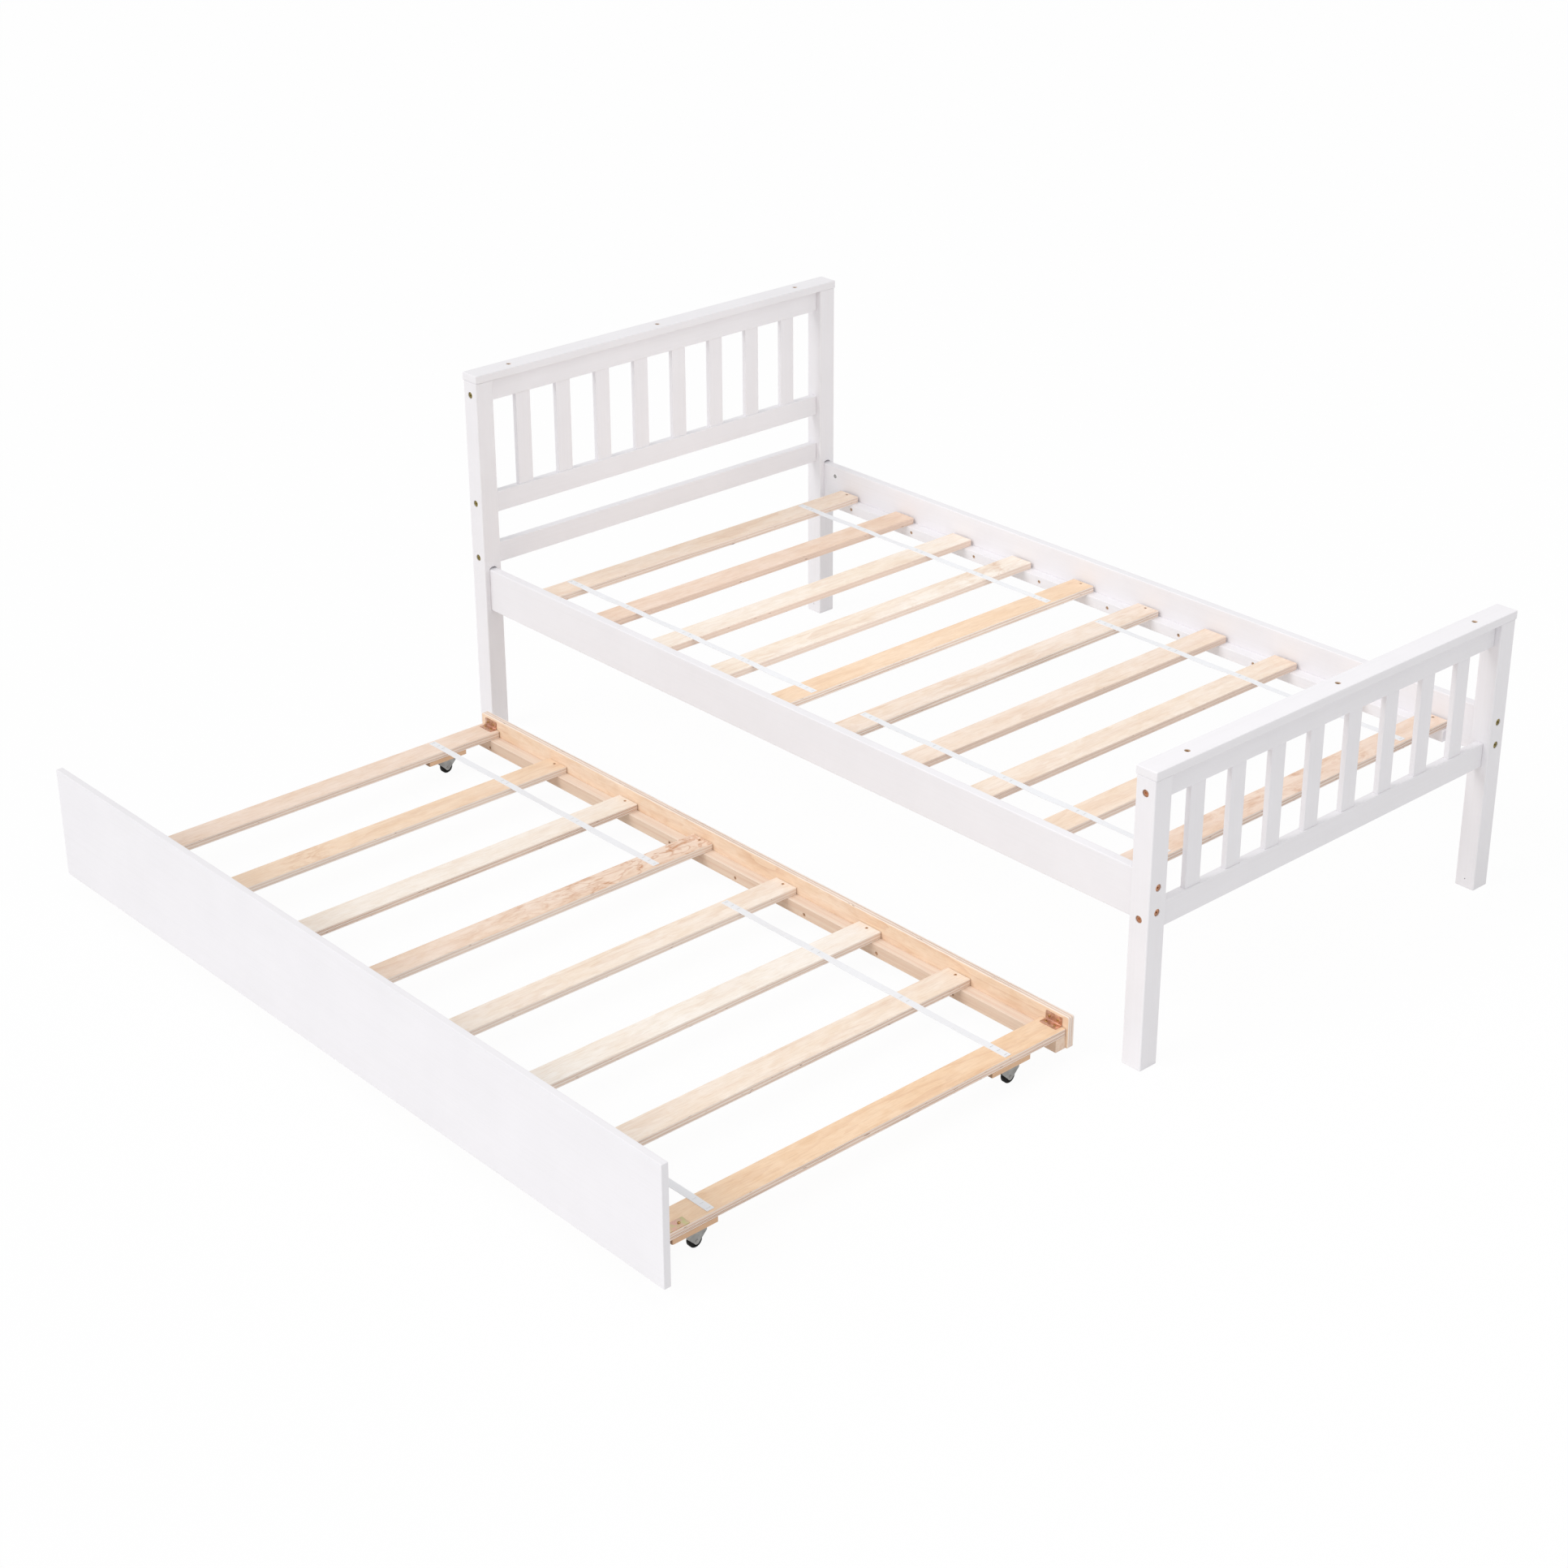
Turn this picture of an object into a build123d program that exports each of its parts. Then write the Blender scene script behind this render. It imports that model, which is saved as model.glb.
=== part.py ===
from build123d import *
import os

# Trundle bed: a slatted twin bed with a second slatted deck that rolls out from under it.
# Millimetres, +Z up. X runs from the headboard to the footboard, and the trundle rolls out towards -Y.
# Everything is laid out about the middle of the bed on the floor, then moved so that the origin
# is at the middle of the whole object's footprint with the trundle rolled out.

# Overall sizes of the bed
bed_length = 2000.0
bed_width = 1062.0
headboard_height = 851.0
footboard_height = 608.0

# How far a cutter runs past the face it cuts, and the most of a board's thickness that an eased edge takes
cut_past = 1.0
edge_share = 0.45

# Posts and the caps that lie across them
post_size = 45.0
post_edge = 2.5
cap_thickness = 18.0
cap_side_overhang = 2.0
cap_end_overhang = 1.0
cap_edge = 2.0
cap_screw_inset = 107.0

# Rails of the headboard and footboard
board_rail_thickness = 18.0
top_rail_height = 51.0
head_middle_rail_height = 48.0
head_lower_rail_height = 48.0
foot_bottom_rail_height = 52.0
head_lower_rail_rise = 4.0
head_middle_rail_gap = 72.0
foot_bottom_rail_drop = 22.0
rail_edge = 2.0

# Upright slats of the headboard and footboard
board_slat_count = 8
board_slat_width = 40.0
board_slat_thickness = 12.0
board_slat_edge = 1.5
board_slat_tenon = 8.0
board_slat_clearance = 0.1

# Side rails, whose ends stand in arched mortises in the posts
side_rail_thickness = 20.0
side_rail_height = 98.0
side_rail_bottom = 299.0
side_rail_tenon = 10.0
mortise_side_clearance = 0.1
mortise_end_play = 0.5
mortise_arch = 5.0

# Ledgers screwed to the side rails, which carry the bed's slats
ledger_width = 28.0
ledger_height = 25.0
ledger_rise = 6.5
ledger_end_gap = 54.0
ledger_edge = 1.5

# Slats of both decks
slat_width = 60.0
slat_thickness = 15.0
slat_edge = 1.0
slat_corner = 1.5
slat_end_gap = 5.5
bed_slat_count = 10
bed_slat_head_margin = 68.0
bed_slat_foot_margin = 60.0
bed_slats_in_roll = 5
trundle_slat_count = 8
trundle_slats_in_roll = 4
trundle_roll_gap = 14.0
trundle_slat_setback = 5.0

# Webbing straps that hold each roll of slats at its spacing, and their staples
strap_width = 16.0
strap_thickness = 0.8
strap_from_slat_end = 141.0
strap_end_inset = 6.0
staple_crown = 10.0
staple_wire = 0.8
staple_leg = 6.0
staple_spacing = 18.0

# Connector bolts, barrel nuts and dowels of the knock-down joints
bolt_diameter = 6.0
bolt_head_diameter = 14.5
bolt_head_thickness = 2.5
bolt_head_recess = 1.5
bolt_head_edge = 0.5
bolt_socket = 4.0
bolt_socket_depth = 1.8
bolt_clearance = 0.1
bolt_past_nut = 6.0
side_bolt_spacing = 50.0
side_nut_from_post = 40.0
board_nut_from_post = 30.0
nut_diameter = 10.0
nut_end_cover = 4.0
nut_recess = 1.0
nut_thread_clearance = 0.05
nut_slot_width = 1.2
nut_slot_depth = 1.0
dowel_diameter = 8.0
dowel_in_post = 15.0
dowel_in_rail = 21.0
dowel_offset = 15.0
top_bolt_drop = 5.0
foot_bottom_bolt_rise = 5.5
head_middle_bolt_rise = 6.0
head_lower_bolt_drop = 2.5
hole_clearance = 0.05
hole_end_room = 1.0
pilot_diameter = 3.0
pilot_depth = 10.0
pilot_height = 20.0

# Wood screws
screw_diameter = 4.0
screw_head_diameter = 8.0
screw_head_thickness = 2.6
screw_recess = 1.4
cap_screw_in_rail = 25.0
cap_screw_diameter = 6.3
cap_screw_head_diameter = 11.5
cap_screw_head_thickness = 3.4
cap_screw_recess = 2.0
ledger_screw_in_rail = 12.0
ledger_screw_count = 9
ledger_screw_inset = 73.0
slat_screw_diameter = 3.5
slat_screw_head_diameter = 6.5
slat_screw_head_thickness = 2.2
slat_screw_in_ledger = 18.0
slat_screw_from_end = 10.0

# Trundle deck
panel_thickness = 15.0
panel_side_gap = 4.0
panel_top_gap = 31.0
panel_edge = 1.5
trundle_rail_thickness = 16.0
trundle_rail_height = 66.0
trundle_rail_inset = 61.0
trundle_rail_corner = 4.0
trundle_ledger_width = 26.0
trundle_ledger_height = 27.0
trundle_ledger_screw_height = 9.5
trundle_slat_end_gap = 1.0
trundle_slat_extra_length = 8.0
trundle_pull_out = 60.0

# Casters on blocks under the end slats
wheel_diameter = 28.0
wheel_width = 11.0
wheel_edge = 2.0
wheel_rim_width = 4.0
wheel_hub_diameter = 12.0
wheel_hub_depth = 1.2
wheel_side_gap = 0.8
caster_height = 47.0
caster_plate_length = 50.0
caster_plate_width = 32.0
caster_metal = 1.5
cheek_top_length = 44.0
cheek_lip = 19.5
cheek_nose_radius = 6.5
cheek_nose_drop = 2.5
axle_diameter = 5.0
axle_head_diameter = 8.0
axle_head_thickness = 1.2
axle_clearance = 0.05
caster_from_edge = 125.0
caster_outset = 5.0
block_length = 100.0
block_thickness = 10.0
block_shift = 17.0
block_corner = 3.0
small_screw_diameter = 3.0
small_screw_head_diameter = 5.6
small_screw_head_thickness = 1.4
small_screw_length = 10.0
plate_screw_spacing_x = 23.0
plate_screw_spacing_y = 40.0
block_screw_spacing_x = 44.0
block_screw_spacing_y = 80.0

# Corner brackets between the end slats and the back rail, and long braces between them and the panel
bracket_length = 40.0
bracket_leaf = 18.0
bracket_metal = 1.5
bracket_screw_spacing = 21.0
brace_width = 21.0
brace_leg = 97.0
brace_metal = 2.0
brace_from_slat_edge = 1.0
brace_screws_from_corner = (32.0, 82.0)

# Places worked out from the sizes above
post_x = bed_length / 2 - post_size / 2
post_y = bed_width / 2 - post_size / 2
clear_x = bed_length / 2 - post_size
clear_y = bed_width / 2 - post_size
side_rail_top = side_rail_bottom + side_rail_height
side_rail_middle = side_rail_bottom + side_rail_height / 2
rail_inner_y = post_y - side_rail_thickness / 2
ledger_bottom = side_rail_bottom + ledger_rise
ledger_top = ledger_bottom + ledger_height
ledger_inner_y = rail_inner_y - ledger_width
ledger_half = clear_x - ledger_end_gap
bed_slat_top = ledger_top + slat_thickness
slat_half = rail_inner_y - slat_end_gap
strap_y = slat_half - strap_from_slat_end
head_post_top = headboard_height - cap_thickness
foot_post_top = footboard_height - cap_thickness

# Lowest and highest edge of each headboard and footboard rail
head_lower_rail = (side_rail_top + head_lower_rail_rise,
                   side_rail_top + head_lower_rail_rise + head_lower_rail_height)
head_middle_rail = (head_lower_rail[1] + head_middle_rail_gap,
                    head_lower_rail[1] + head_middle_rail_gap + head_middle_rail_height)
head_top_rail = (head_post_top - top_rail_height, head_post_top)
foot_bottom_rail = (side_rail_bottom - foot_bottom_rail_drop,
                    side_rail_bottom - foot_bottom_rail_drop + foot_bottom_rail_height)
foot_top_rail = (foot_post_top - top_rail_height, foot_post_top)
head_rails = [head_lower_rail, head_middle_rail, head_top_rail]
foot_rails = [foot_bottom_rail, foot_top_rail]

# Trundle heights from the floor up, and its depth from the bed outwards
trundle_slat_bottom = caster_height + block_thickness
trundle_slat_top = trundle_slat_bottom + slat_thickness
trundle_bottom = trundle_slat_bottom - trundle_ledger_height
panel_top = side_rail_bottom - panel_top_gap
panel_half = clear_x - panel_side_gap
trundle_rail_half = panel_half - trundle_rail_inset
trundle_slat_edge = trundle_rail_half - trundle_slat_setback
trundle_slat_half = slat_half + trundle_slat_extra_length / 2
trundle_room = 2 * (trundle_slat_half + trundle_slat_end_gap)
trundle_rail_outer_y = -bed_width / 2 - trundle_pull_out
trundle_rail_inner_y = trundle_rail_outer_y - trundle_rail_thickness
panel_inner_y = trundle_rail_inner_y - trundle_room
panel_outer_y = panel_inner_y - panel_thickness
trundle_middle_y = (trundle_rail_inner_y + panel_inner_y) / 2
wheel_radius = wheel_diameter / 2
caster_x = trundle_slat_edge - slat_width / 2
caster_y = trundle_room / 2 - caster_from_edge

# Middle of the whole footprint, which becomes the origin
footprint_y = (bed_width / 2 + cap_end_overhang + panel_outer_y) / 2

nodes = {}


def keep(name, *solids):
    """Keeps one or more solids as a named node."""
    nodes[name] = list(solids)


def block(x, y, z, edge=0.0):
    """A board between two values on each axis, with all its edges eased."""
    sizes = [abs(span[1] - span[0]) for span in (x, y, z)]
    middle = [(span[0] + span[1]) / 2 for span in (x, y, z)]
    board = Pos(*middle) * Box(*sizes)
    radius = min(edge, edge_share * min(sizes))
    return fillet(board.edges(), radius) if radius > 0 else board


def rod(diameter, start, end):
    """A round bar or drill from one point to another."""
    way = Vector(*end) - Vector(*start)
    return Solid.make_cylinder(diameter / 2, way.length, Plane(origin=start, z_dir=way))


def along(axis, point, distance):
    """The point moved by a distance along X, Y or Z."""
    moved = list(point)
    moved["XYZ".index(axis)] += distance
    return tuple(moved)


def screw(axis, way, head_top, length, diameter, head_diameter, head_thickness):
    """A countersunk wood screw whose flat head starts at head_top and points along way times axis."""
    head = Solid.make_cone(
        head_diameter / 2, diameter / 2, head_thickness,
        Plane(origin=head_top, z_dir=Vector(*along(axis, (0, 0, 0), way))))
    shank = rod(diameter, along(axis, head_top, way * head_thickness), along(axis, head_top, way * length))
    return head + shank


def screw_hole(axis, way, head_top, length, diameter, head_diameter, head_thickness, mouth):
    """The hole for such a screw: shank, countersink and a straight mouth of that depth above the head."""
    wide = head_diameter + 2 * hole_clearance
    thin = diameter + 2 * hole_clearance
    sink = Solid.make_cone(
        wide / 2, thin / 2, head_thickness,
        Plane(origin=head_top, z_dir=Vector(*along(axis, (0, 0, 0), way))))
    drill = rod(thin, head_top, along(axis, head_top, way * (length + hole_end_room)))
    mouth_drill = rod(wide, along(axis, head_top, -way * (mouth + cut_past)), head_top)
    return [sink, drill, mouth_drill]


# Each connector joint: the bolt runs along an axis through a post, and a barrel nut across the rail takes it
bolts = []
nuts = []
dowels = []
post_cuts = {}
rail_cuts = {}


def connector(post, rail, axis, face, way, nut_from_face, nut_axis, nut_way, nut_span):
    """One bolt whose head is sunk in a post's face, with its barrel nut in a rail.

    face is the point on the post's outer face, way is the direction that the bolt points,
    and nut_span holds the rail face where the nut goes in and the far rail face."""
    seat = along(axis, face, way * (bolt_head_recess + bolt_head_thickness))
    under_head = along(axis, face, way * bolt_head_recess)
    nut_middle = along(axis, face, way * nut_from_face)
    tip = along(axis, nut_middle, way * bolt_past_nut)
    head = rod(bolt_head_diameter, under_head, seat)
    rim = head.edges().filter_by(GeomType.CIRCLE).sort_by_distance(face)[0]
    head = fillet(rim, bolt_head_edge)
    socket_plane = Plane(origin=under_head, z_dir=Vector(*along(axis, (0, 0, 0), way)))
    socket = extrude(socket_plane * RegularPolygon(bolt_socket / 2, 6, major_radius=False), bolt_socket_depth)
    bolts.append(head + rod(bolt_diameter, seat, tip) - socket)

    sunk = bolt_head_diameter + 2 * bolt_clearance
    bored = bolt_diameter + 2 * bolt_clearance
    drill = rod(bored, along(axis, face, -way * cut_past), along(axis, tip, way * hole_end_room))
    post_cuts.setdefault(post, []).extend([rod(sunk, along(axis, face, -way * cut_past), seat), drill])
    rail_cuts.setdefault(rail, []).append(drill)

    entry, far = nut_span
    index = "XYZ".index(nut_axis)
    mouth = list(nut_middle)
    mouth[index] = entry
    depth = abs(far - entry) - nut_end_cover
    outer_end = along(nut_axis, mouth, nut_way * nut_recess)
    inner_end = along(nut_axis, mouth, nut_way * depth)
    nut = rod(nut_diameter, outer_end, inner_end)
    cross = bolt_diameter + 2 * nut_thread_clearance
    cross_ends = [along(axis, nut_middle, reach * nut_diameter) for reach in (-1, 1)]
    nut -= rod(cross, *cross_ends)
    slot_sizes = [nut_slot_width, nut_slot_width, nut_slot_width]
    slot_sizes["XYZ".index(axis)] = nut_diameter
    slot_sizes[index] = 2 * nut_slot_depth
    nuts.append(nut - Pos(*outer_end) * Box(*slot_sizes))
    nut_bore = nut_diameter + 2 * hole_clearance
    rail_cuts[rail].append(rod(nut_bore, along(nut_axis, mouth, -nut_way * cut_past), inner_end))


def dowel(post, rail, x, joint_y, side, z):
    """One dowel between a post's inner face and the end of a board rail."""
    post_end = (x, joint_y + side * dowel_in_post, z)
    rail_end = (x, joint_y - side * dowel_in_rail, z)
    dowels.append(rod(dowel_diameter, post_end, rail_end))
    bored = dowel_diameter + 2 * hole_clearance
    post_cuts.setdefault(post, []).append(rod(bored, (x, joint_y - side * cut_past, z), post_end))
    rail_cuts.setdefault(rail, []).append(rod(bored, (x, joint_y + side * cut_past, z), rail_end))


# Joints of the headboard and footboard rails with their posts
boards = [
    ("headboard", -1, headboard_height, head_post_top,
     [("lower_rail", head_lower_rail, -head_lower_bolt_drop),
      ("middle_rail", head_middle_rail, head_middle_bolt_rise),
      ("top_rail", head_top_rail, -top_bolt_drop)]),
    ("footboard", 1, footboard_height, foot_post_top,
     [("bottom_rail", foot_bottom_rail, foot_bottom_bolt_rise), ("top_rail", foot_top_rail, -top_bolt_drop)]),
]
sides = [("front", -1), ("back", 1)]
for board, end, height, post_top, rails in boards:
    x = end * post_x
    rail_face = x - board_rail_thickness / 2
    rail_far_face = x + board_rail_thickness / 2
    for rail, (low, high), bolt_shift in rails:
        middle = (low + high) / 2
        for side_name, side in sides:
            post = f"{board}_post_{side_name}"
            outer = (x, side * bed_width / 2, middle + bolt_shift)
            connector(post, f"{board}_{rail}", "Y", outer, -side, post_size + board_nut_from_post,
                      "X", 1, (rail_face, rail_far_face))
            for z in (middle - dowel_offset, middle + dowel_offset):
                dowel(post, f"{board}_{rail}", x, side * clear_y, side, z)

# Joints of the side rails with all four posts
for board, end, height, post_top, rails in boards:
    for side_name, side in sides:
        for z in (side_rail_middle - side_bolt_spacing / 2, side_rail_middle + side_bolt_spacing / 2):
            outer = (end * bed_length / 2, side * post_y, z)
            connector(f"{board}_post_{side_name}", f"side_rail_{side_name}", "X", outer, -end,
                      post_size + side_nut_from_post, "Y", side,
                      (side * rail_inner_y, side * (rail_inner_y + side_rail_thickness)))

# Posts, each with the mortise that takes the end of a side rail
mortise_width = side_rail_thickness + 2 * mortise_side_clearance
arch_radius = (mortise_width ** 2 / 4 + mortise_arch ** 2) / (2 * mortise_arch)
for board, end, height, post_top, rails in boards:
    for side_name, side in sides:
        name = f"{board}_post_{side_name}"
        x = end * post_x
        y = side * post_y
        half = post_size / 2
        post = block((x - half, x + half), (y - half, y + half), (0, post_top), post_edge)
        low = side_rail_bottom - mortise_end_play
        high = side_rail_top + mortise_end_play
        face_x = end * clear_x
        mouth_x = face_x - end * cut_past
        floor_x = face_x + end * side_rail_tenon
        slot_y = (y - mortise_width / 2, y + mortise_width / 2)
        slot = block((mouth_x, floor_x), slot_y, (low, high))
        arch_middle = high + mortise_arch - arch_radius
        arch = rod(2 * arch_radius, (mouth_x, y, arch_middle), (floor_x, y, arch_middle))
        arch = arch & block((mouth_x, floor_x), slot_y, (low, high + mortise_arch))
        cuts = post_cuts[name] + [slot, arch]
        if side_name == "back":
            pilot_face = (x, clear_y, pilot_height)
            pilot_mouth = along("Y", pilot_face, -cut_past)
            cuts.append(rod(pilot_diameter, pilot_mouth, along("Y", pilot_face, pilot_depth)))
        keep(name, post.cut(*cuts))

# Caps, with their screws driven down into the top rails
cap_screws = []
cap_screw_places = (-(bed_width / 2 - cap_screw_inset), 0.0, bed_width / 2 - cap_screw_inset)
cap_screw_sizes = (cap_thickness - cap_screw_recess + cap_screw_in_rail, cap_screw_diameter,
                   cap_screw_head_diameter, cap_screw_head_thickness)
for board, end, height, post_top, rails in boards:
    x = end * post_x
    half_x = post_size / 2 + cap_side_overhang
    half_y = bed_width / 2 + cap_end_overhang
    cap = block((x - half_x, x + half_x), (-half_y, half_y), (post_top, height), cap_edge)
    for y in cap_screw_places:
        head_top = (x, y, height - cap_screw_recess)
        cap_screws.append(screw("Z", -1, head_top, *cap_screw_sizes))
        hole = screw_hole("Z", -1, head_top, *cap_screw_sizes, cap_screw_recess)
        cap = cap.cut(*hole)
        rail_cuts[f"{board}_top_rail"].extend(hole)
    keep(f"{board}_cap", cap)
keep("cap_screws", *cap_screws)

# Upright slats, with tenons in the rail below and the top rail
board_slat_pitch = (2 * clear_y + board_slat_width) / (board_slat_count + 1)
for board, end, height, post_top, rails in boards:
    x = end * post_x
    under_rail, (under_low, under_high), _ = rails[-2]
    over_low = rails[-1][1][0]
    slats = []
    for number in range(board_slat_count):
        y = (number - (board_slat_count - 1) / 2) * board_slat_pitch
        spans = []
        for extra in (0.0, board_slat_clearance):
            half_x = board_slat_thickness / 2 + extra
            half_y = board_slat_width / 2 + extra
            spans.append(((x - half_x, x + half_x), (y - half_y, y + half_y)))
        bottom = under_high - board_slat_tenon
        top = over_low + board_slat_tenon
        slats.append(block(*spans[0], (bottom, top), board_slat_edge))
        rail_cuts[f"{board}_{under_rail}"].append(block(*spans[1], (bottom, under_high + cut_past)))
        rail_cuts[f"{board}_top_rail"].append(block(*spans[1], (over_low - cut_past, top)))
    keep(f"{board}_slats", *slats)

# Rails of the headboard and footboard, with all their holes and mortises
for board, end, height, post_top, rails in boards:
    x = end * post_x
    half = board_rail_thickness / 2
    for rail, span, _ in rails:
        name = f"{board}_{rail}"
        solid = block((x - half, x + half), (-clear_y, clear_y), span, rail_edge)
        keep(name, solid.cut(*rail_cuts[name]))

# Bed slats in two rolls, from the headboard to the footboard
bed_first = -clear_x + bed_slat_head_margin + slat_width / 2
bed_last = clear_x - bed_slat_foot_margin - slat_width / 2
bed_pitch = (bed_last - bed_first) / (bed_slat_count - 1)
bed_slat_x = [bed_first + number * bed_pitch for number in range(bed_slat_count)]
trundle_pitch = (2 * caster_x - trundle_roll_gap) / (trundle_slat_count - 1)
trundle_slat_x = [-caster_x + number * trundle_pitch for number in range(trundle_slats_in_roll)]
trundle_slat_x += [-x for x in reversed(trundle_slat_x)]

ledger_screw_sizes = (ledger_width - screw_recess + ledger_screw_in_rail, screw_diameter,
                      screw_head_diameter, screw_head_thickness)
slat_screw_sizes = (slat_thickness + slat_screw_in_ledger, slat_screw_diameter,
                    slat_screw_head_diameter, slat_screw_head_thickness)


def rounded_board(x, y, z, axis, corner, edge):
    """A board with its corners rounded about the axis across it, and the edges of both faces eased."""
    board = fillet(block(x, y, z).edges().filter_by(axis), corner)
    face_edges = board.edges().group_by(axis)
    return fillet(face_edges[0] + face_edges[-1], edge)


def slat(x, middle_y, half, bottom):
    """One slat across a deck, with its corners and edges eased."""
    return rounded_board((x - slat_width / 2, x + slat_width / 2), (middle_y - half, middle_y + half),
                         (bottom, bottom + slat_thickness), Axis.Z, slat_corner, slat_edge)


# Screws of both decks' ledgers stand at the same places along the bed
ledger_screw_reach = ledger_half - ledger_screw_inset
ledger_screw_pitch = 2 * ledger_screw_reach / (ledger_screw_count - 1)
ledger_screw_x = [-ledger_screw_reach + number * ledger_screw_pitch for number in range(ledger_screw_count)]


# Ledgers of the bed and their screws; the end slats of each roll are screwed down too
bed_screws = []
ledger_holes = {"front": [], "back": []}
rail_screw_holes = {"front": [], "back": []}
slat_holes = {}
roll_ends = [0, bed_slats_in_roll - 1, bed_slats_in_roll, bed_slat_count - 1]
for side_name, side in sides:
    for x in ledger_screw_x:
        head_y = side * (ledger_inner_y + screw_recess)
        head_top = (x, head_y, ledger_bottom + ledger_height / 2)
        bed_screws.append(screw("Y", side, head_top, *ledger_screw_sizes))
        hole = screw_hole("Y", side, head_top, *ledger_screw_sizes, screw_recess)
        ledger_holes[side_name].extend(hole)
        rail_screw_holes[side_name].extend(hole)
    for number in roll_ends:
        head_top = (bed_slat_x[number], side * (slat_half - slat_screw_from_end), bed_slat_top)
        bed_screws.append(screw("Z", -1, head_top, *slat_screw_sizes))
        hole = screw_hole("Z", -1, head_top, *slat_screw_sizes, 0)
        slat_holes.setdefault(number, []).extend(hole)
        ledger_holes[side_name].extend(hole)
keep("bed_wood_screws", *bed_screws)

for side_name, side in sides:
    rail_half = clear_x + side_rail_tenon
    rail_span = (side * rail_inner_y, side * (rail_inner_y + side_rail_thickness))
    rail = block((-rail_half, rail_half), rail_span, (side_rail_bottom, side_rail_top), rail_edge)
    rail_name = f"side_rail_{side_name}"
    keep(rail_name, rail.cut(*rail_cuts[rail_name], *rail_screw_holes[side_name]))
    ledger_span = (side * ledger_inner_y, side * rail_inner_y)
    ledger = block((-ledger_half, ledger_half), ledger_span, (ledger_bottom, ledger_top), ledger_edge)
    keep(f"slat_ledger_{side_name}", ledger.cut(*ledger_holes[side_name]))

for number, x in enumerate(bed_slat_x):
    board = slat(x, 0, slat_half, ledger_top)
    holes = slat_holes.get(number, [])
    keep(f"bed_slat_{number + 1:02d}", board.cut(*holes) if holes else board)

keep("frame_bolts", *bolts)
keep("barrel_nuts", *nuts)
keep("wood_dowels", *dowels)


def straps_and_staples(slat_places, roll_size, middle_y, slat_top):
    """The straps of one deck, two to a roll, and the staples that fix them to every slat."""
    straps = []
    staples = []
    strap_top = slat_top + strap_thickness
    reach = slat_width / 2 - strap_end_inset
    for start in range(0, len(slat_places), roll_size):
        roll = slat_places[start:start + roll_size]
        for side in (-1, 1):
            y = middle_y + side * strap_y
            strap_span = (y - strap_width / 2, y + strap_width / 2)
            straps.append(block((roll[0] - reach, roll[-1] + reach), strap_span, (slat_top, strap_top)))
            for x in roll:
                at_end = x in (roll[0], roll[-1])
                steps = (-1, 0, 1) if at_end else (-0.5, 0.5)
                staples += [staple(x + step * staple_spacing, y, strap_top) for step in steps]
    return straps, staples


def staple(x, y, top):
    """One wire staple across a strap: a crown on the webbing and two legs in the slat."""
    half_wire = staple_wire / 2
    wire_x = (x - half_wire, x + half_wire)
    half_crown = staple_crown / 2
    crown = block(wire_x, (y - half_crown, y + half_crown), (top, top + staple_wire))
    legs = [block(wire_x, (leg_y - half_wire, leg_y + half_wire), (top - staple_leg, top + staple_wire))
            for leg_y in (y - half_crown + half_wire, y + half_crown - half_wire)]
    return crown + legs


bed_straps, bed_staples = straps_and_staples(bed_slat_x, bed_slats_in_roll, 0, bed_slat_top)
keep("bed_straps", *bed_straps)
keep("bed_staples", *bed_staples)

# Trundle deck: front panel, back rail, ledgers, slats and their screws
trundle_sides = [("front", -1, panel_inner_y), ("back", 1, trundle_rail_inner_y)]
trundle_ledger_screw_sizes = (trundle_ledger_width - screw_recess + ledger_screw_in_rail, screw_diameter,
                              screw_head_diameter, screw_head_thickness)
trundle_screws = []
carrier_holes = {"front": [], "back": []}
trundle_ledger_holes = {"front": [], "back": []}
trundle_slat_holes = {number: [] for number in range(trundle_slat_count)}
for side_name, side, face_y in trundle_sides:
    for x in ledger_screw_x:
        head_y = face_y - side * (trundle_ledger_width - screw_recess)
        head_top = (x, head_y, trundle_bottom + trundle_ledger_screw_height)
        trundle_screws.append(screw("Y", side, head_top, *trundle_ledger_screw_sizes))
        hole = screw_hole("Y", side, head_top, *trundle_ledger_screw_sizes, screw_recess)
        trundle_ledger_holes[side_name].extend(hole)
        carrier_holes[side_name].extend(hole)
    for number in range(1, trundle_slat_count - 1):
        head_y = trundle_middle_y + side * (trundle_slat_half - slat_screw_from_end)
        head_top = (trundle_slat_x[number], head_y, trundle_slat_top)
        trundle_screws.append(screw("Z", -1, head_top, *slat_screw_sizes))
        hole = screw_hole("Z", -1, head_top, *slat_screw_sizes, 0)
        trundle_slat_holes[number].extend(hole)
        trundle_ledger_holes[side_name].extend(hole)


def small_screw(axis, way, seat):
    """A small pan-head screw whose head rests on seat, and the hole for its shank."""
    head_top = along(axis, seat, -way * small_screw_head_thickness)
    head = rod(small_screw_head_diameter, head_top, seat)
    rim = head.edges().filter_by(GeomType.CIRCLE).sort_by_distance(head_top)[0]
    head = fillet(rim, edge_share * small_screw_head_thickness)
    tip = along(axis, seat, way * small_screw_length)
    bored = small_screw_diameter + 2 * hole_clearance
    hole = rod(bored, head_top, along(axis, tip, way * hole_end_room))
    return head + rod(small_screw_diameter, seat, tip), hole


def corner_bracket(span_x, face_y, side, leaf, metal):
    """A square bracket with one leaf on a slat and one up the face of a long board."""
    flat = block(span_x, (face_y - side * leaf, face_y), (trundle_slat_top, trundle_slat_top + metal))
    upright = block(span_x, (face_y - side * metal, face_y), (trundle_slat_top, trundle_slat_top + leaf))
    return flat + upright


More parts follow.
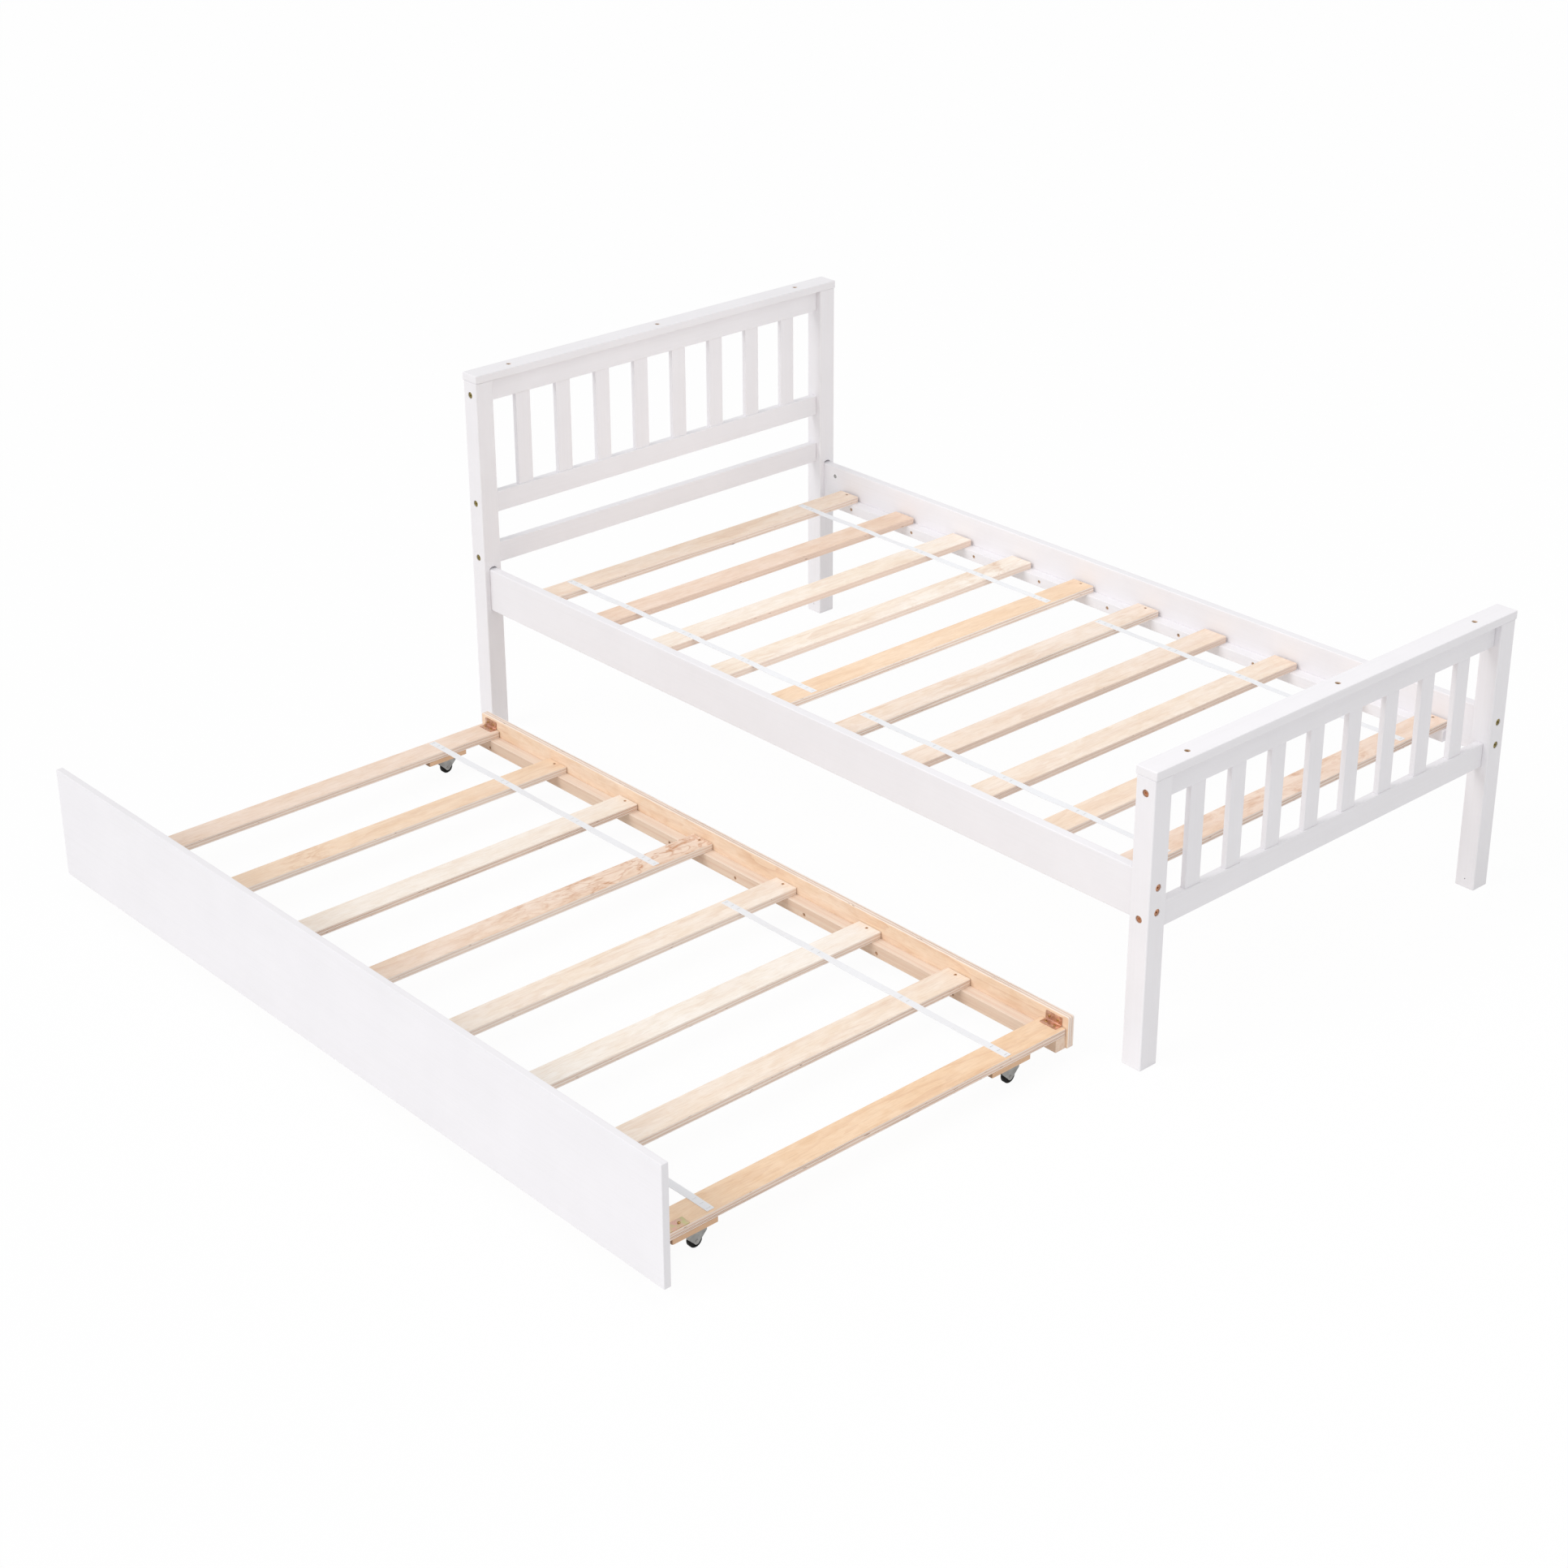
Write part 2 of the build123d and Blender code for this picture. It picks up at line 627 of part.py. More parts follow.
# Two short wide brackets at the back rail and two long narrow braces at the panel, two screws a leaf
brackets = []
bracket_screws = []
end_slats = [(0, -caster_x), (trundle_slat_count - 1, caster_x)]
for number, x in end_slats:
    way_out = -1 if x < 0 else 1
    brace_x = x + way_out * (slat_width / 2 - brace_from_slat_edge - brace_width / 2)
    bracket_middle = (bracket_leaf + bracket_metal) / 2
    short_screws = [(x + step * bracket_screw_spacing, bracket_middle) for step in (-0.5, 0.5)]
    long_screws = [(brace_x, from_corner) for from_corner in brace_screws_from_corner]
    kinds = {"front": (brace_x, brace_width, brace_leg, brace_metal, long_screws),
             "back": (x, bracket_length, bracket_leaf, bracket_metal, short_screws)}
    for side_name, side, face_y in trundle_sides:
        middle_x, width, leaf, metal, screw_places = kinds[side_name]
        bracket = corner_bracket((middle_x - width / 2, middle_x + width / 2), face_y, side, leaf, metal)
        for screw_x, from_corner in screw_places:
            down_seat = (screw_x, face_y - side * from_corner, trundle_slat_top + metal)
            out_seat = (screw_x, face_y - side * metal, trundle_slat_top + from_corner)
            down, down_hole = small_screw("Z", -1, down_seat)
            out, out_hole = small_screw("Y", side, out_seat)
            bracket = bracket - down_hole - out_hole
            trundle_slat_holes[number].append(down_hole)
            carrier_holes[side_name].append(out_hole)
            bracket_screws += [down, out]
        brackets.append(bracket)
keep("corner_brackets", *brackets)
keep("bracket_screws", *bracket_screws)

# Casters: a block under the end slat, a folded fork, a riveted axle and a plain wheel
blocks = []
forks = []
axles = []
caster_screws = []
block_screw_sizes = (block_thickness + slat_thickness / 2, slat_screw_diameter,
                     slat_screw_head_diameter, slat_screw_head_thickness)
plate_bottom = caster_height - caster_metal
cheek_inner = wheel_width / 2 + wheel_side_gap
cheek_outer = cheek_inner + caster_metal
for number, slat_x in end_slats:
    x = slat_x + (-caster_outset if slat_x < 0 else caster_outset)
    for side_name, side, face_y in trundle_sides:
        y = trundle_middle_y + side * caster_y
        block_y = y - block_shift
        block_middle = (slat_x, block_y, caster_height + block_thickness / 2)
        caster_block = Pos(*block_middle) * Box(slat_width, block_length, block_thickness)
        caster_block = fillet(caster_block.edges().filter_by(Axis.Z), block_corner)
        for step in (-0.5, 0.5):
            head_top = (slat_x + step * block_screw_spacing_x, block_y + step * block_screw_spacing_y,
                        caster_height)
            trundle_screws.append(screw("Z", 1, head_top, *block_screw_sizes))
            hole = screw_hole("Z", 1, head_top, *block_screw_sizes, 0)
            caster_block = caster_block.cut(*hole)
            trundle_slat_holes[number].extend(hole)

        plate_x = (x - caster_plate_width / 2, x + caster_plate_width / 2)
        plate_y = (y - caster_plate_length / 2, y + caster_plate_length / 2)
        fork = block(plate_x, plate_y, (plate_bottom, caster_height))
        for cheek_side in (-1, 1):
            start_x = x + cheek_side * cheek_inner
            half_top = cheek_top_length / 2
            nose_half = (cheek_nose_radius ** 2 - cheek_nose_drop ** 2) ** 0.5
            nose_z = wheel_radius - cheek_nose_drop
            corners = [(-nose_half, nose_z), (nose_half, nose_z),
                       (half_top, plate_bottom - cheek_lip), (half_top, plate_bottom),
                       (-half_top, plate_bottom), (-half_top, plate_bottom - cheek_lip)]
            outline = Polygon(*corners, align=None)
            outline += Pos(0, wheel_radius) * Circle(cheek_nose_radius)
            cheek_plane = Plane(origin=(start_x, y, 0), x_dir=(0, 1, 0), z_dir=(1, 0, 0))
            fork += extrude(cheek_plane * outline, caster_metal, dir=(cheek_side, 0, 0))
        axle_reach = cheek_outer + cut_past
        axle_hole = rod(axle_diameter + 2 * axle_clearance, (x - axle_reach, y, wheel_radius),
                        (x + axle_reach, y, wheel_radius))
        fork -= axle_hole
        for step_x in (-0.5, 0.5):
            for step_y in (-0.5, 0.5):
                seat = (x + step_x * plate_screw_spacing_x, y + step_y * plate_screw_spacing_y, plate_bottom)
                fixing, hole = small_screw("Z", 1, seat)
                caster_screws.append(fixing)
                fork -= hole
                caster_block -= hole
        blocks.append(caster_block)
        forks.append(fork)
        axle = rod(axle_diameter, (x - cheek_outer, y, wheel_radius), (x + cheek_outer, y, wheel_radius))
        for head_side in (-1, 1):
            head_x = x + head_side * cheek_outer
            axle += rod(axle_head_diameter, (head_x, y, wheel_radius),
                        (head_x + head_side * axle_head_thickness, y, wheel_radius))
        axles.append(axle)

        half_wheel = wheel_width / 2
        wheel = rod(wheel_diameter, (x - half_wheel, y, wheel_radius), (x + half_wheel, y, wheel_radius))
        wheel = fillet(wheel.edges().filter_by(GeomType.CIRCLE), min(wheel_edge, edge_share * wheel_width))
        for hub_side in (-1, 1):
            face_x = x + hub_side * half_wheel
            ring = rod(wheel_diameter - 2 * wheel_rim_width, (face_x, y, wheel_radius),
                       (face_x - hub_side * wheel_hub_depth, y, wheel_radius))
            wheel -= ring - rod(wheel_hub_diameter, (face_x, y, wheel_radius),
                                (face_x - hub_side * wheel_hub_depth, y, wheel_radius))
        wheel -= axle_hole
        end_name = "head" if x < 0 else "foot"
        keep(f"caster_wheel_{end_name}_{side_name}", wheel)
keep("caster_blocks", *blocks)
keep("caster_forks", *forks)
keep("caster_axles", *axles)
keep("caster_screws", *caster_screws)
keep("trundle_wood_screws", *trundle_screws)

panel_y = (panel_outer_y, panel_inner_y)
panel = block((-panel_half, panel_half), panel_y, (trundle_bottom, panel_top), panel_edge)
keep("trundle_front_panel", panel.cut(*carrier_holes["front"]))
back_rail_z = (trundle_bottom, trundle_bottom + trundle_rail_height)
back_rail = rounded_board((-trundle_rail_half, trundle_rail_half), (trundle_rail_inner_y, trundle_rail_outer_y),
                          back_rail_z, Axis.Y, trundle_rail_corner, rail_edge)
keep("trundle_back_rail", back_rail.cut(*carrier_holes["back"]))
for side_name, side, face_y in trundle_sides:
    ledger = block((-trundle_slat_edge, trundle_slat_edge), (face_y - side * trundle_ledger_width, face_y),
                   (trundle_bottom, trundle_slat_bottom), ledger_edge)
    keep(f"trundle_ledger_{side_name}", ledger.cut(*trundle_ledger_holes[side_name]))
for number, x in enumerate(trundle_slat_x):
    board = slat(x, trundle_middle_y, trundle_slat_half, trundle_slat_bottom)
    keep(f"trundle_slat_{number + 1}", board.cut(*trundle_slat_holes[number]))

trundle_straps, trundle_staples = straps_and_staples(
    trundle_slat_x, trundle_slats_in_roll, trundle_middle_y, trundle_slat_top)
keep("trundle_straps", *trundle_straps)
keep("trundle_staples", *trundle_staples)

# One STEP file for each node, with the origin at the middle of the footprint
os.makedirs("parts", exist_ok=True)
to_origin = Pos(0, -footprint_y, 0)
for name, solids in nodes.items():
    pieces = [to_origin * piece for solid in solids for piece in solid.solids()]
    export_step(pieces[0] if len(pieces) == 1 else Compound(children=pieces), f"parts/{name}.step")
travel = bed_width / 2 + abs(panel_outer_y) - bed_width
print(len(nodes), "nodes, footprint middle", footprint_y, "trundle travel", travel)
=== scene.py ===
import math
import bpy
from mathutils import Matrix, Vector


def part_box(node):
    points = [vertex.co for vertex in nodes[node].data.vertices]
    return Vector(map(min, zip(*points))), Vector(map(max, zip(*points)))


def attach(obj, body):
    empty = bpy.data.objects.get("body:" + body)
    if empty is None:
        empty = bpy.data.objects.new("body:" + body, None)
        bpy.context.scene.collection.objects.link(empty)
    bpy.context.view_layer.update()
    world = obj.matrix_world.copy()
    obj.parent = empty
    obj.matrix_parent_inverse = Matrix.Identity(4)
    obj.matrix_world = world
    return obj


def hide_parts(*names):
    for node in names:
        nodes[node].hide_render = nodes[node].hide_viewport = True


bl_info = {
    "name": "Trundle Bed",
    "version": (1, 0, 0),
    "blender": (4, 5, 0),
    "location": "View3D > Sidebar > Trundle Bed",
    "description": "Finishes the boards, slats, straps, fittings and casters of a trundle bed",
    "category": "Object",
}

from collections import namedtuple

import bmesh
import bpy
from bpy.props import FloatProperty, FloatVectorProperty, PointerProperty
from mathutils import Matrix, Vector

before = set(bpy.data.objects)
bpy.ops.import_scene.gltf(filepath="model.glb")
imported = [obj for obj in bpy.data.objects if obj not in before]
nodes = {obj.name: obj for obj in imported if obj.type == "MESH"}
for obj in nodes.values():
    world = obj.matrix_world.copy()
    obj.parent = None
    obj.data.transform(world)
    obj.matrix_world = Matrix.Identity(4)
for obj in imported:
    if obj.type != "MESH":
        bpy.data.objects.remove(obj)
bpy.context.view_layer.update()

MM = 0.001
AXES = "XYZ"
# Points nearer to each other than this are one point
MERGE_DISTANCE = 0.001 * MM
# A point nearer to a line or plane than this lies on it
TOLERANCE = 0.01 * MM
# A face looks squarely along an axis when its normal has more than this of it
SQUARELY = 0.9
# Edges flatter than this are shaded smooth
SMOOTH_ANGLE = math.radians(35)
# The two decks, each with the body it belongs to
DECKS = (("bed", "bed_frame"), ("trundle", "trundle"))


def linear(hex_colour):
    """The linear red, green and blue of an sRGB hex colour."""
    channels = [int(hex_colour[place:place + 2], 16) / 255 for place in (1, 3, 5)]
    return [c / 12.92 if c <= 0.04045 else ((c + 0.055) / 1.055) ** 2.4 for c in channels]


def colour_property(name, hex_colour, description):
    """A colour that a user may change, kept as linear red, green and blue."""
    return FloatVectorProperty(name=name, description=description, subtype="COLOR", size=3, min=0.0, max=1.0,
                               default=linear(hex_colour))


def length_property(name, millimetres, description):
    """A length that a user may change, in metres."""
    return FloatProperty(name=name, description=description, unit="LENGTH", min=0.0, default=millimetres * MM)


class BedColours(bpy.types.PropertyGroup):
    """Colours of the bed's finishes."""
    paint: colour_property("Paint", "#EFEDF0", "Satin white paint on the boards")
    veneer_pale: colour_property("Pale veneer", "#FBF4EC", "Palest tone of the slats' face veneer")
    veneer_warm: colour_property("Warm veneer", "#F5CFA5", "Warmest tone of the slats' face veneer")
    veneer_pink: colour_property("Pink veneer", "#EDCDB9", "Pinkest tone of the slats' face veneer")
    veneer_grain: colour_property("Wood grain", "#C88F68", "Grain lines and veins in the bare wood")
    ply_edge: colour_property("Ply edge", "#F6EADF", "Long-grain plies at the edges of the plywood")
    ply_cross: colour_property("Cross plies", "#E3C4AF", "Cross-grain plies at the edges of the plywood")
    glue_line: colour_property("Glue line", "#6B4432", "Glue lines and gaps between the plies")
    poplar: colour_property("Poplar", "#EEDCCC", "Solid wood of the trundle's ledgers and of the dowels")
    block: colour_property("Block wood", "#E2BE9C", "Solid wood of the caster blocks")
    webbing: colour_property("Webbing", "#EEEFF2", "White straps that hold the slats")
    brass: colour_property("Copper brass", "#C79474", "Bolts of the footboard's front post")
    brass_olive: colour_property("Olive brass", "#9A8B52", "Bolts of the other posts")
    bright_brass: colour_property("Bright brass", "#CFA872", "Screws of the caps, brackets and braces")
    screw: colour_property("Yellow zinc screw", "#E0BFA0", "Wood screws of the slats, ledgers and blocks")
    bracket: colour_property("Bracket", "#DCB4A2", "Copper-pink plating on the short corner brackets")
    bracket_dark: colour_property("Bracket stain", "#AE8468", "Brown clouds in that plating")
    brace: colour_property("Brace", "#D2A89C", "Pink tone of the yellow zinc on the long corner braces")
    brace_green: colour_property("Brace tint", "#BDC08A", "Yellow-green tone of that plating")
    # Bright zinc of the staples; on the caster plates the same tone is a painted highlight
    bright_zinc_and_highlight: colour_property("Bright zinc", "#E4E4E2", "Caster plates and staples")
    zinc: colour_property("Zinc", "#B4B3B0", "Caster forks, rivets and screws, and the barrel nuts")
    tyre: colour_property("Wheel", "#0E0D0C", "Black plastic caster wheels")
    floor: colour_property("Floor", "#F6F6F6", "Plain floor under the bed")


class BedSizes(bpy.types.PropertyGroup):
    """Sizes of the finishing detail."""
    ply: length_property("Ply", 3.0, "Thickness of one ply in the plywood")
    paint_grain: length_property("Paint grain", 4.0, "Width of the grain lines that show through the paint")
    strap_sag: length_property("Strap sag", 2.2, "Largest sag of a strap between two slats")
    bend: length_property("Bracket bend", 2.4, "Radius of the bend in a corner bracket")
    rim: length_property("Wheel edge", 2.2, "Rounding at the edge of a caster wheel")


def start_piece():
    """Leaves edit mode and deselects everything, so that operators act on the new piece alone."""
    if bpy.context.object and bpy.context.object.mode != "OBJECT":
        bpy.ops.object.mode_set(mode="OBJECT")
    bpy.ops.object.select_all(action="DESELECT")


def work_on(piece):
    """Makes one piece the only selected and active object."""
    start_piece()
    piece.select_set(True)
    bpy.context.view_layer.objects.active = piece


def edit(piece):
    """Opens one piece in edit mode."""
    work_on(piece)
    bpy.ops.object.mode_set(mode="EDIT")


def new_piece(add_primitive, **settings):
    """Adds a primitive, with its place and size applied to its mesh."""
    start_piece()
    add_primitive(**settings)
    bpy.ops.object.transform_apply(location=True, rotation=True, scale=True)
    return bpy.context.object


def pick(test, kind="FACE"):
    """In edit mode, selects only the faces, edges or vertices whose middle and normal pass the test.

    For an edge, the normal is its direction."""
    bpy.ops.mesh.select_mode(type=kind)
    bpy.ops.mesh.select_all(action="DESELECT")
    data = bpy.context.edit_object.data
    mesh = bmesh.from_edit_mesh(data)
    parts = {"FACE": mesh.faces, "EDGE": mesh.edges, "VERT": mesh.verts}[kind]
    for part in parts:
        corners = [part] if kind == "VERT" else part.verts
        middle = sum((corner.co for corner in corners), Vector()) / len(corners)
        normal = part.normal if kind != "EDGE" else (part.verts[1].co - part.verts[0].co).normalized()
        if test(middle, normal):
            part.select_set(True)
    mesh.select_flush_mode()
    bmesh.update_edit_mesh(data)


def extrude(move):
    """Extrudes the selected faces or edges by a vector."""
    bpy.ops.mesh.extrude_region_move(TRANSFORM_OT_translate={"value": move})


def turn_faces_out():
    """In edit mode, makes every face of a piece point outwards."""
    bpy.ops.mesh.select_all(action="SELECT")
    bpy.ops.mesh.normals_make_consistent(inside=False)


def apply_modifier(piece, kind, **settings):
    """Adds one modifier to a piece and applies it."""
    work_on(piece)
    modifier = piece.modifiers.new(kind.title(), kind)
    for name, value in settings.items():
        setattr(modifier, name, value)
    bpy.ops.object.modifier_apply(modifier=modifier.name)


def soften(piece, width, segments=2, sharper_than=50):
    """Rounds the edges of a piece that turn by more than an angle in degrees."""
    apply_modifier(piece, "BEVEL", width=width, segments=segments, limit_method="ANGLE",
                   angle_limit=math.radians(sharper_than))


def cut_out(piece, cutter):
    """Cuts a cutter out of a piece and removes the cutter."""
    apply_modifier(piece, "BOOLEAN", operation="DIFFERENCE", solver="EXACT", object=cutter)
    bpy.data.objects.remove(cutter)


def joined(pieces):
    """Several pieces joined into the first."""
    start_piece()
    for piece in pieces:
        piece.select_set(True)
    bpy.context.view_layer.objects.active = pieces[0]
    if len(pieces) > 1:
        bpy.ops.object.join()
    return pieces[0]


def copies_joined(master, places):
    """One piece made of copies of a master, each moved by its matrix. The master is removed."""
    copies = []
    for place in places:
        copy = master.copy()
        copy.data = master.data.copy()
        copy.data.transform(place)
        bpy.context.collection.objects.link(copy)
        copies.append(copy)
    bpy.data.objects.remove(master)
    return joined(copies)


def finish_piece(piece, name, material, body, node):
    """Names, smooths and dresses a finished piece, rides it on a body and hides the node it stands for."""
    work_on(piece)
    bpy.ops.object.shade_smooth_by_angle(angle=SMOOTH_ANGLE)
    piece.name = name
    piece.data.name = name
    dress(piece, material)
    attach(piece, body)
    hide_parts(node)


def dress(piece, material):
    """Gives a piece or a CAD node one material all over."""
    piece.data.materials.clear()
    piece.data.materials.append(material)


def solids_of(node):
    """The points of each separate solid in a CAD node, in the row frame."""
    mesh = bmesh.new()
    mesh.from_mesh(nodes[node].data)
    bmesh.ops.remove_doubles(mesh, verts=mesh.verts, dist=MERGE_DISTANCE)
    solids = []
    for first in mesh.verts:
        if first.tag:
            continue
        first.tag = True
        reached = [first]
        for point in reached:
            for edge in point.link_edges:
                other = edge.other_vert(point)
                if not other.tag:
                    other.tag = True
                    reached.append(other)
        solids.append([point.co.copy() for point in reached])
    mesh.free()
    return solids


def corners_of(points):
    """Lowest and highest corner of some points."""
    low = Vector([min(point[axis] for point in points) for axis in range(3)])
    high = Vector([max(point[axis] for point in points) for axis in range(3)])
    return low, high


def radius_at(points, axis, middle, end):
    """How far the points near one end of a turned solid reach from its axis."""
    end_zone = 1.6 * MM
    reach = []
    for point in points:
        if abs(point[axis] - end[axis]) < end_zone:
            off = point - middle
            off[axis] = 0.0
            reach.append(off.length)
    return max(reach)


def fasteners_of(node):
    """Each bolt or screw of a CAD node: its place, with +Z out of its head's top, and its three sizes.

    The sizes are the head's radius, the shank's radius and the length, to a tenth of a millimetre."""
    found = []
    for points in solids_of(node):
        low, high = corners_of(points)
        spans = high - low
        axis = max(range(3), key=lambda index: spans[index])
        middle = (low + high) / 2
        radii = [radius_at(points, axis, middle, end) for end in (low, high)]
        top = low if radii[0] > radii[1] else high
        out = Vector()
        out[axis] = 1.0 if top is high else -1.0
        place = middle.copy()
        place[axis] = top[axis]
        turn = Vector((0, 0, 1)).rotation_difference(out).to_matrix().to_4x4()
        sizes = (round(max(radii), 4), round(min(radii), 4), round(spans[axis], 4))
        found.append((Matrix.Translation(place) @ turn, sizes))
    return found


def fasteners_joined(model, fasteners):
    """One piece made of many bolts or screws: each kind is modelled once and copied to its places."""
    kinds = {}
    for place, sizes in fasteners:
        kinds.setdefault(sizes, []).append(place)
    return joined([copies_joined(model(*sizes), places) for sizes, places in kinds.items()])


# A colour mix has its share, the colour it starts from and the colour it goes to on these sockets
SHARE, FROM, TO = 0, 6, 7
BLEND = {"data_type": "RGBA"}
SHADE = {"data_type": "RGBA", "blend_type": "MULTIPLY"}
SOFT_STEP = {"interpolation_type": "SMOOTHSTEP"}


def first_output(node):
    """The first output that a node has in use."""
    return next(socket for socket in node.outputs if socket.enabled)


def add_node(tree, kind, inputs=None, stops=None, **settings):
    """Adds one node with its settings, and sets or links its inputs. stops fills a colour ramp.

    An input is a value, an output of another node, or a node, which stands for its first output."""
    node = tree.nodes.new(f"ShaderNode{kind}")
    for name, value in settings.items():
        setattr(node, name, value)
    for key, value in (inputs or {}).items():
        if isinstance(value, bpy.types.Node):
            value = first_output(value)
        if isinstance(value, bpy.types.NodeSocket):
            tree.links.new(value, node.inputs[key])
        else:
            node.inputs[key].default_value = value
    if stops:
        elements = node.color_ramp.elements
        while len(elements) < len(stops):
            elements.new(1.0)
        for element, (position, shade) in zip(elements, stops):
            element.position = position
            element.color = (*shade, 1.0)
    return node


def new_material(name, constants):
    """A material with one shader, whose constant values are set on the shader's own sockets."""
    material = bpy.data.materials.new(name)
    material.use_nodes = True
    tree = material.node_tree
    tree.nodes.clear()
    shader = add_node(tree, "BsdfPrincipled", constants)
    add_node(tree, "OutputMaterial", {"Surface": shader})
    return material, tree, shader


def surfaced(material, shader, colour, gloss, bump):
    """A material whose colour, gloss and relief are linked to its shader."""
    for socket, node in (("Base Color", colour), ("Roughness", gloss), ("Normal", bump)):
        material.node_tree.links.new(first_output(node), shader.inputs[socket])
    return material


def grey(value):
    """A grey level for a colour ramp."""
    return (value, value, value)


def drawn_out(tree, place, along, run, across, detail=2.0, rough=0.5, distortion=0.0):
    """A grain of marks that are run metres long along one axis and across metres wide on the others."""
    scale = [1 / run if axis == along else 1 / across for axis in AXES]
    stretched = add_node(tree, "Mapping", {"Vector": place, "Scale": scale})
    return add_node(tree, "TexNoise", {
        "Vector": stretched, "Scale": 1.0, "Detail": detail, "Roughness": rough, "Distortion": distortion})


def painted_pine(colours, sizes, along):
    """Pine under satin white paint: the straight grain shows as faint long ridges in a soft sheen."""
    material, tree, shader = new_material(f"satin_painted_pine_{along}", {"IOR": 1.48})
    place = add_node(tree, "TexCoord").outputs["Object"]
    ridges = drawn_out(tree, place, along, 450 * MM, sizes.paint_grain, detail=3.0, rough=0.6)
    # Unevenness of the sprayed coat, about 120 mm across
    patches = add_node(tree, "TexNoise", {"Vector": place, "Scale": 1 / (120 * MM), "Detail": 2.0})
    shaded = [channel * tint for channel, tint in zip(colours.paint, (0.985, 0.983, 0.98))]
    tone = add_node(tree, "ValToRGB", {"Fac": ridges}, [(0.28, shaded), (0.55, colours.paint)])
    soft = add_node(tree, "ValToRGB", {"Fac": patches}, [(0.3, grey(0.975)), (0.7, grey(1.0))])
    coat = add_node(tree, "Mix", {SHARE: 1.0, FROM: tone, TO: soft}, **SHADE)
    gloss = add_node(tree, "MapRange", {"Value": ridges, "To Min": 0.36, "To Max": 0.52})
    bump = add_node(tree, "Bump", {"Height": ridges, "Strength": 0.08, "Distance": 0.4 * MM})
    return surfaced(material, shader, coat, gloss, bump)


# How far the pattern moves from one sheet of plywood to the next, in metres
PATTERN_STEP = (1.7, 2.3, 0.9)


def plywood(colours, sizes, name, face, along, look, seed, burl=None):
    """Raw plywood: sanded rotary-cut veneer on the faces, and plies with glue lines and gaps at the edges.

    face is the axis across the sheet and along the axis of the face grain. look holds the warmth, blush,
    figure, ply lines and edge tone from 0 to 1. seed moves the pattern, and burl is a patch of veins."""
    material, tree, shader = new_material(f"sanded_plywood_{name}", {"IOR": 1.5})
    place = add_node(tree, "TexCoord").outputs["Object"]
    moved = add_node(tree, "Mapping", {"Vector": place, "Location": [seed * step for step in PATTERN_STEP]})
    # Pores and fibres: 1 mm wide in life, drawn 2.2 mm wide so that they show
    fibres = drawn_out(tree, moved, along, 35 * MM, 2.2 * MM, detail=4.0, rough=0.65)
    veneer = face_veneer(tree, colours, place, moved, fibres, along, look, burl)
    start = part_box(name)[0][AXES.index(face)]
    plies, gaps = ply_edge(tree, colours, sizes.ply, place, moved, face, start, look)
    normal = add_node(tree, "SeparateXYZ", {0: add_node(tree, "NewGeometry").outputs["Normal"]})
    facing = add_node(tree, "Math", {0: normal.outputs[face]}, operation="ABSOLUTE")
    on_face = add_node(tree, "MapRange", {"Value": facing, "From Min": 0.55, "From Max": 0.8}, **SOFT_STEP)
    wood = add_node(tree, "Mix", {SHARE: on_face, FROM: plies, TO: veneer}, **BLEND)
    gloss = add_node(tree, "MapRange", {"Value": fibres, "To Min": 0.5, "To Max": 0.72})
    relief = add_node(tree, "Math", {0: fibres, 1: gaps}, operation="SUBTRACT")
    bump = add_node(tree, "Bump", {"Height": relief, "Strength": 0.2, "Distance": 0.4 * MM})
    return surfaced(material, shader, wood, gloss, bump)


def face_veneer(tree, colours, place, moved, fibres, along, look, burl):
    """The colour of a plywood face: clouds of tone, mottling, pale tongues of figure, a burl and fibres."""
    # The level lines of long waves are pale tongues with a soft rim
    waves = drawn_out(tree, moved, along, 350 * MM, 45 * MM, detail=2.5, distortion=0.3)
    levels = add_node(tree, "Math", {0: waves, 1: 5.0}, operation="MULTIPLY")
    rims = add_node(tree, "Math", {0: levels}, operation="FRACT")
    soft_rims = add_node(tree, "MapRange", {"Value": rims, "From Min": 0.45, "From Max": 1.0}, **SOFT_STEP)
    clouds = drawn_out(tree, moved, along, 250 * MM, 70 * MM, detail=3.0, rough=0.55)
    mottle = drawn_out(tree, moved, along, 45 * MM, 20 * MM, detail=4.0, rough=0.6, distortion=0.7)
    strength = add_node(tree, "MapRange", {
        "Value": clouds, "From Min": 0.62, "From Max": 0.38,
        "To Min": 0.02 + 0.08 * look.figure, "To Max": 0.06 + 0.26 * look.figure})
    marks = add_node(tree, "Math", {0: soft_rims, 1: strength}, operation="MULTIPLY")
    if burl:
        veins = burl_veins(tree, place, moved, mottle, along, burl)
        marks = add_node(tree, "Math", {0: marks, 1: veins}, operation="MAXIMUM")
    tone = Vector(colours.veneer_pale).lerp(Vector(colours.veneer_warm), look.warmth)
    tone = tone.lerp(Vector(colours.veneer_pink), look.blush)
    deep = [channel * share for channel, share in zip(tone, (0.97, 0.93, 0.88))]
    veneer = add_node(tree, "ValToRGB", {"Fac": clouds}, [(0.36, deep), (0.58, tone)])
    mottle_depth = 0.35 + 0.65 * look.figure
    low_mottle = [1 - mottle_depth * fall for fall in (0.07, 0.13, 0.20)]
    blotches = add_node(tree, "ValToRGB", {"Fac": mottle}, [(0.34, low_mottle), (0.60, grey(1.0))])
    mottled = add_node(tree, "Mix", {SHARE: 1.0, FROM: veneer, TO: blotches}, **SHADE)
    figured = add_node(tree, "Mix", {SHARE: marks, FROM: mottled, TO: (*colours.veneer_grain, 1.0)}, **BLEND)
    streaks = add_node(tree, "ValToRGB", {"Fac": fibres}, [(0.30, (0.87, 0.825, 0.775)), (0.52, grey(1.0))])
    return add_node(tree, "Mix", {SHARE: 0.75, FROM: figured, TO: streaks}, **SHADE)


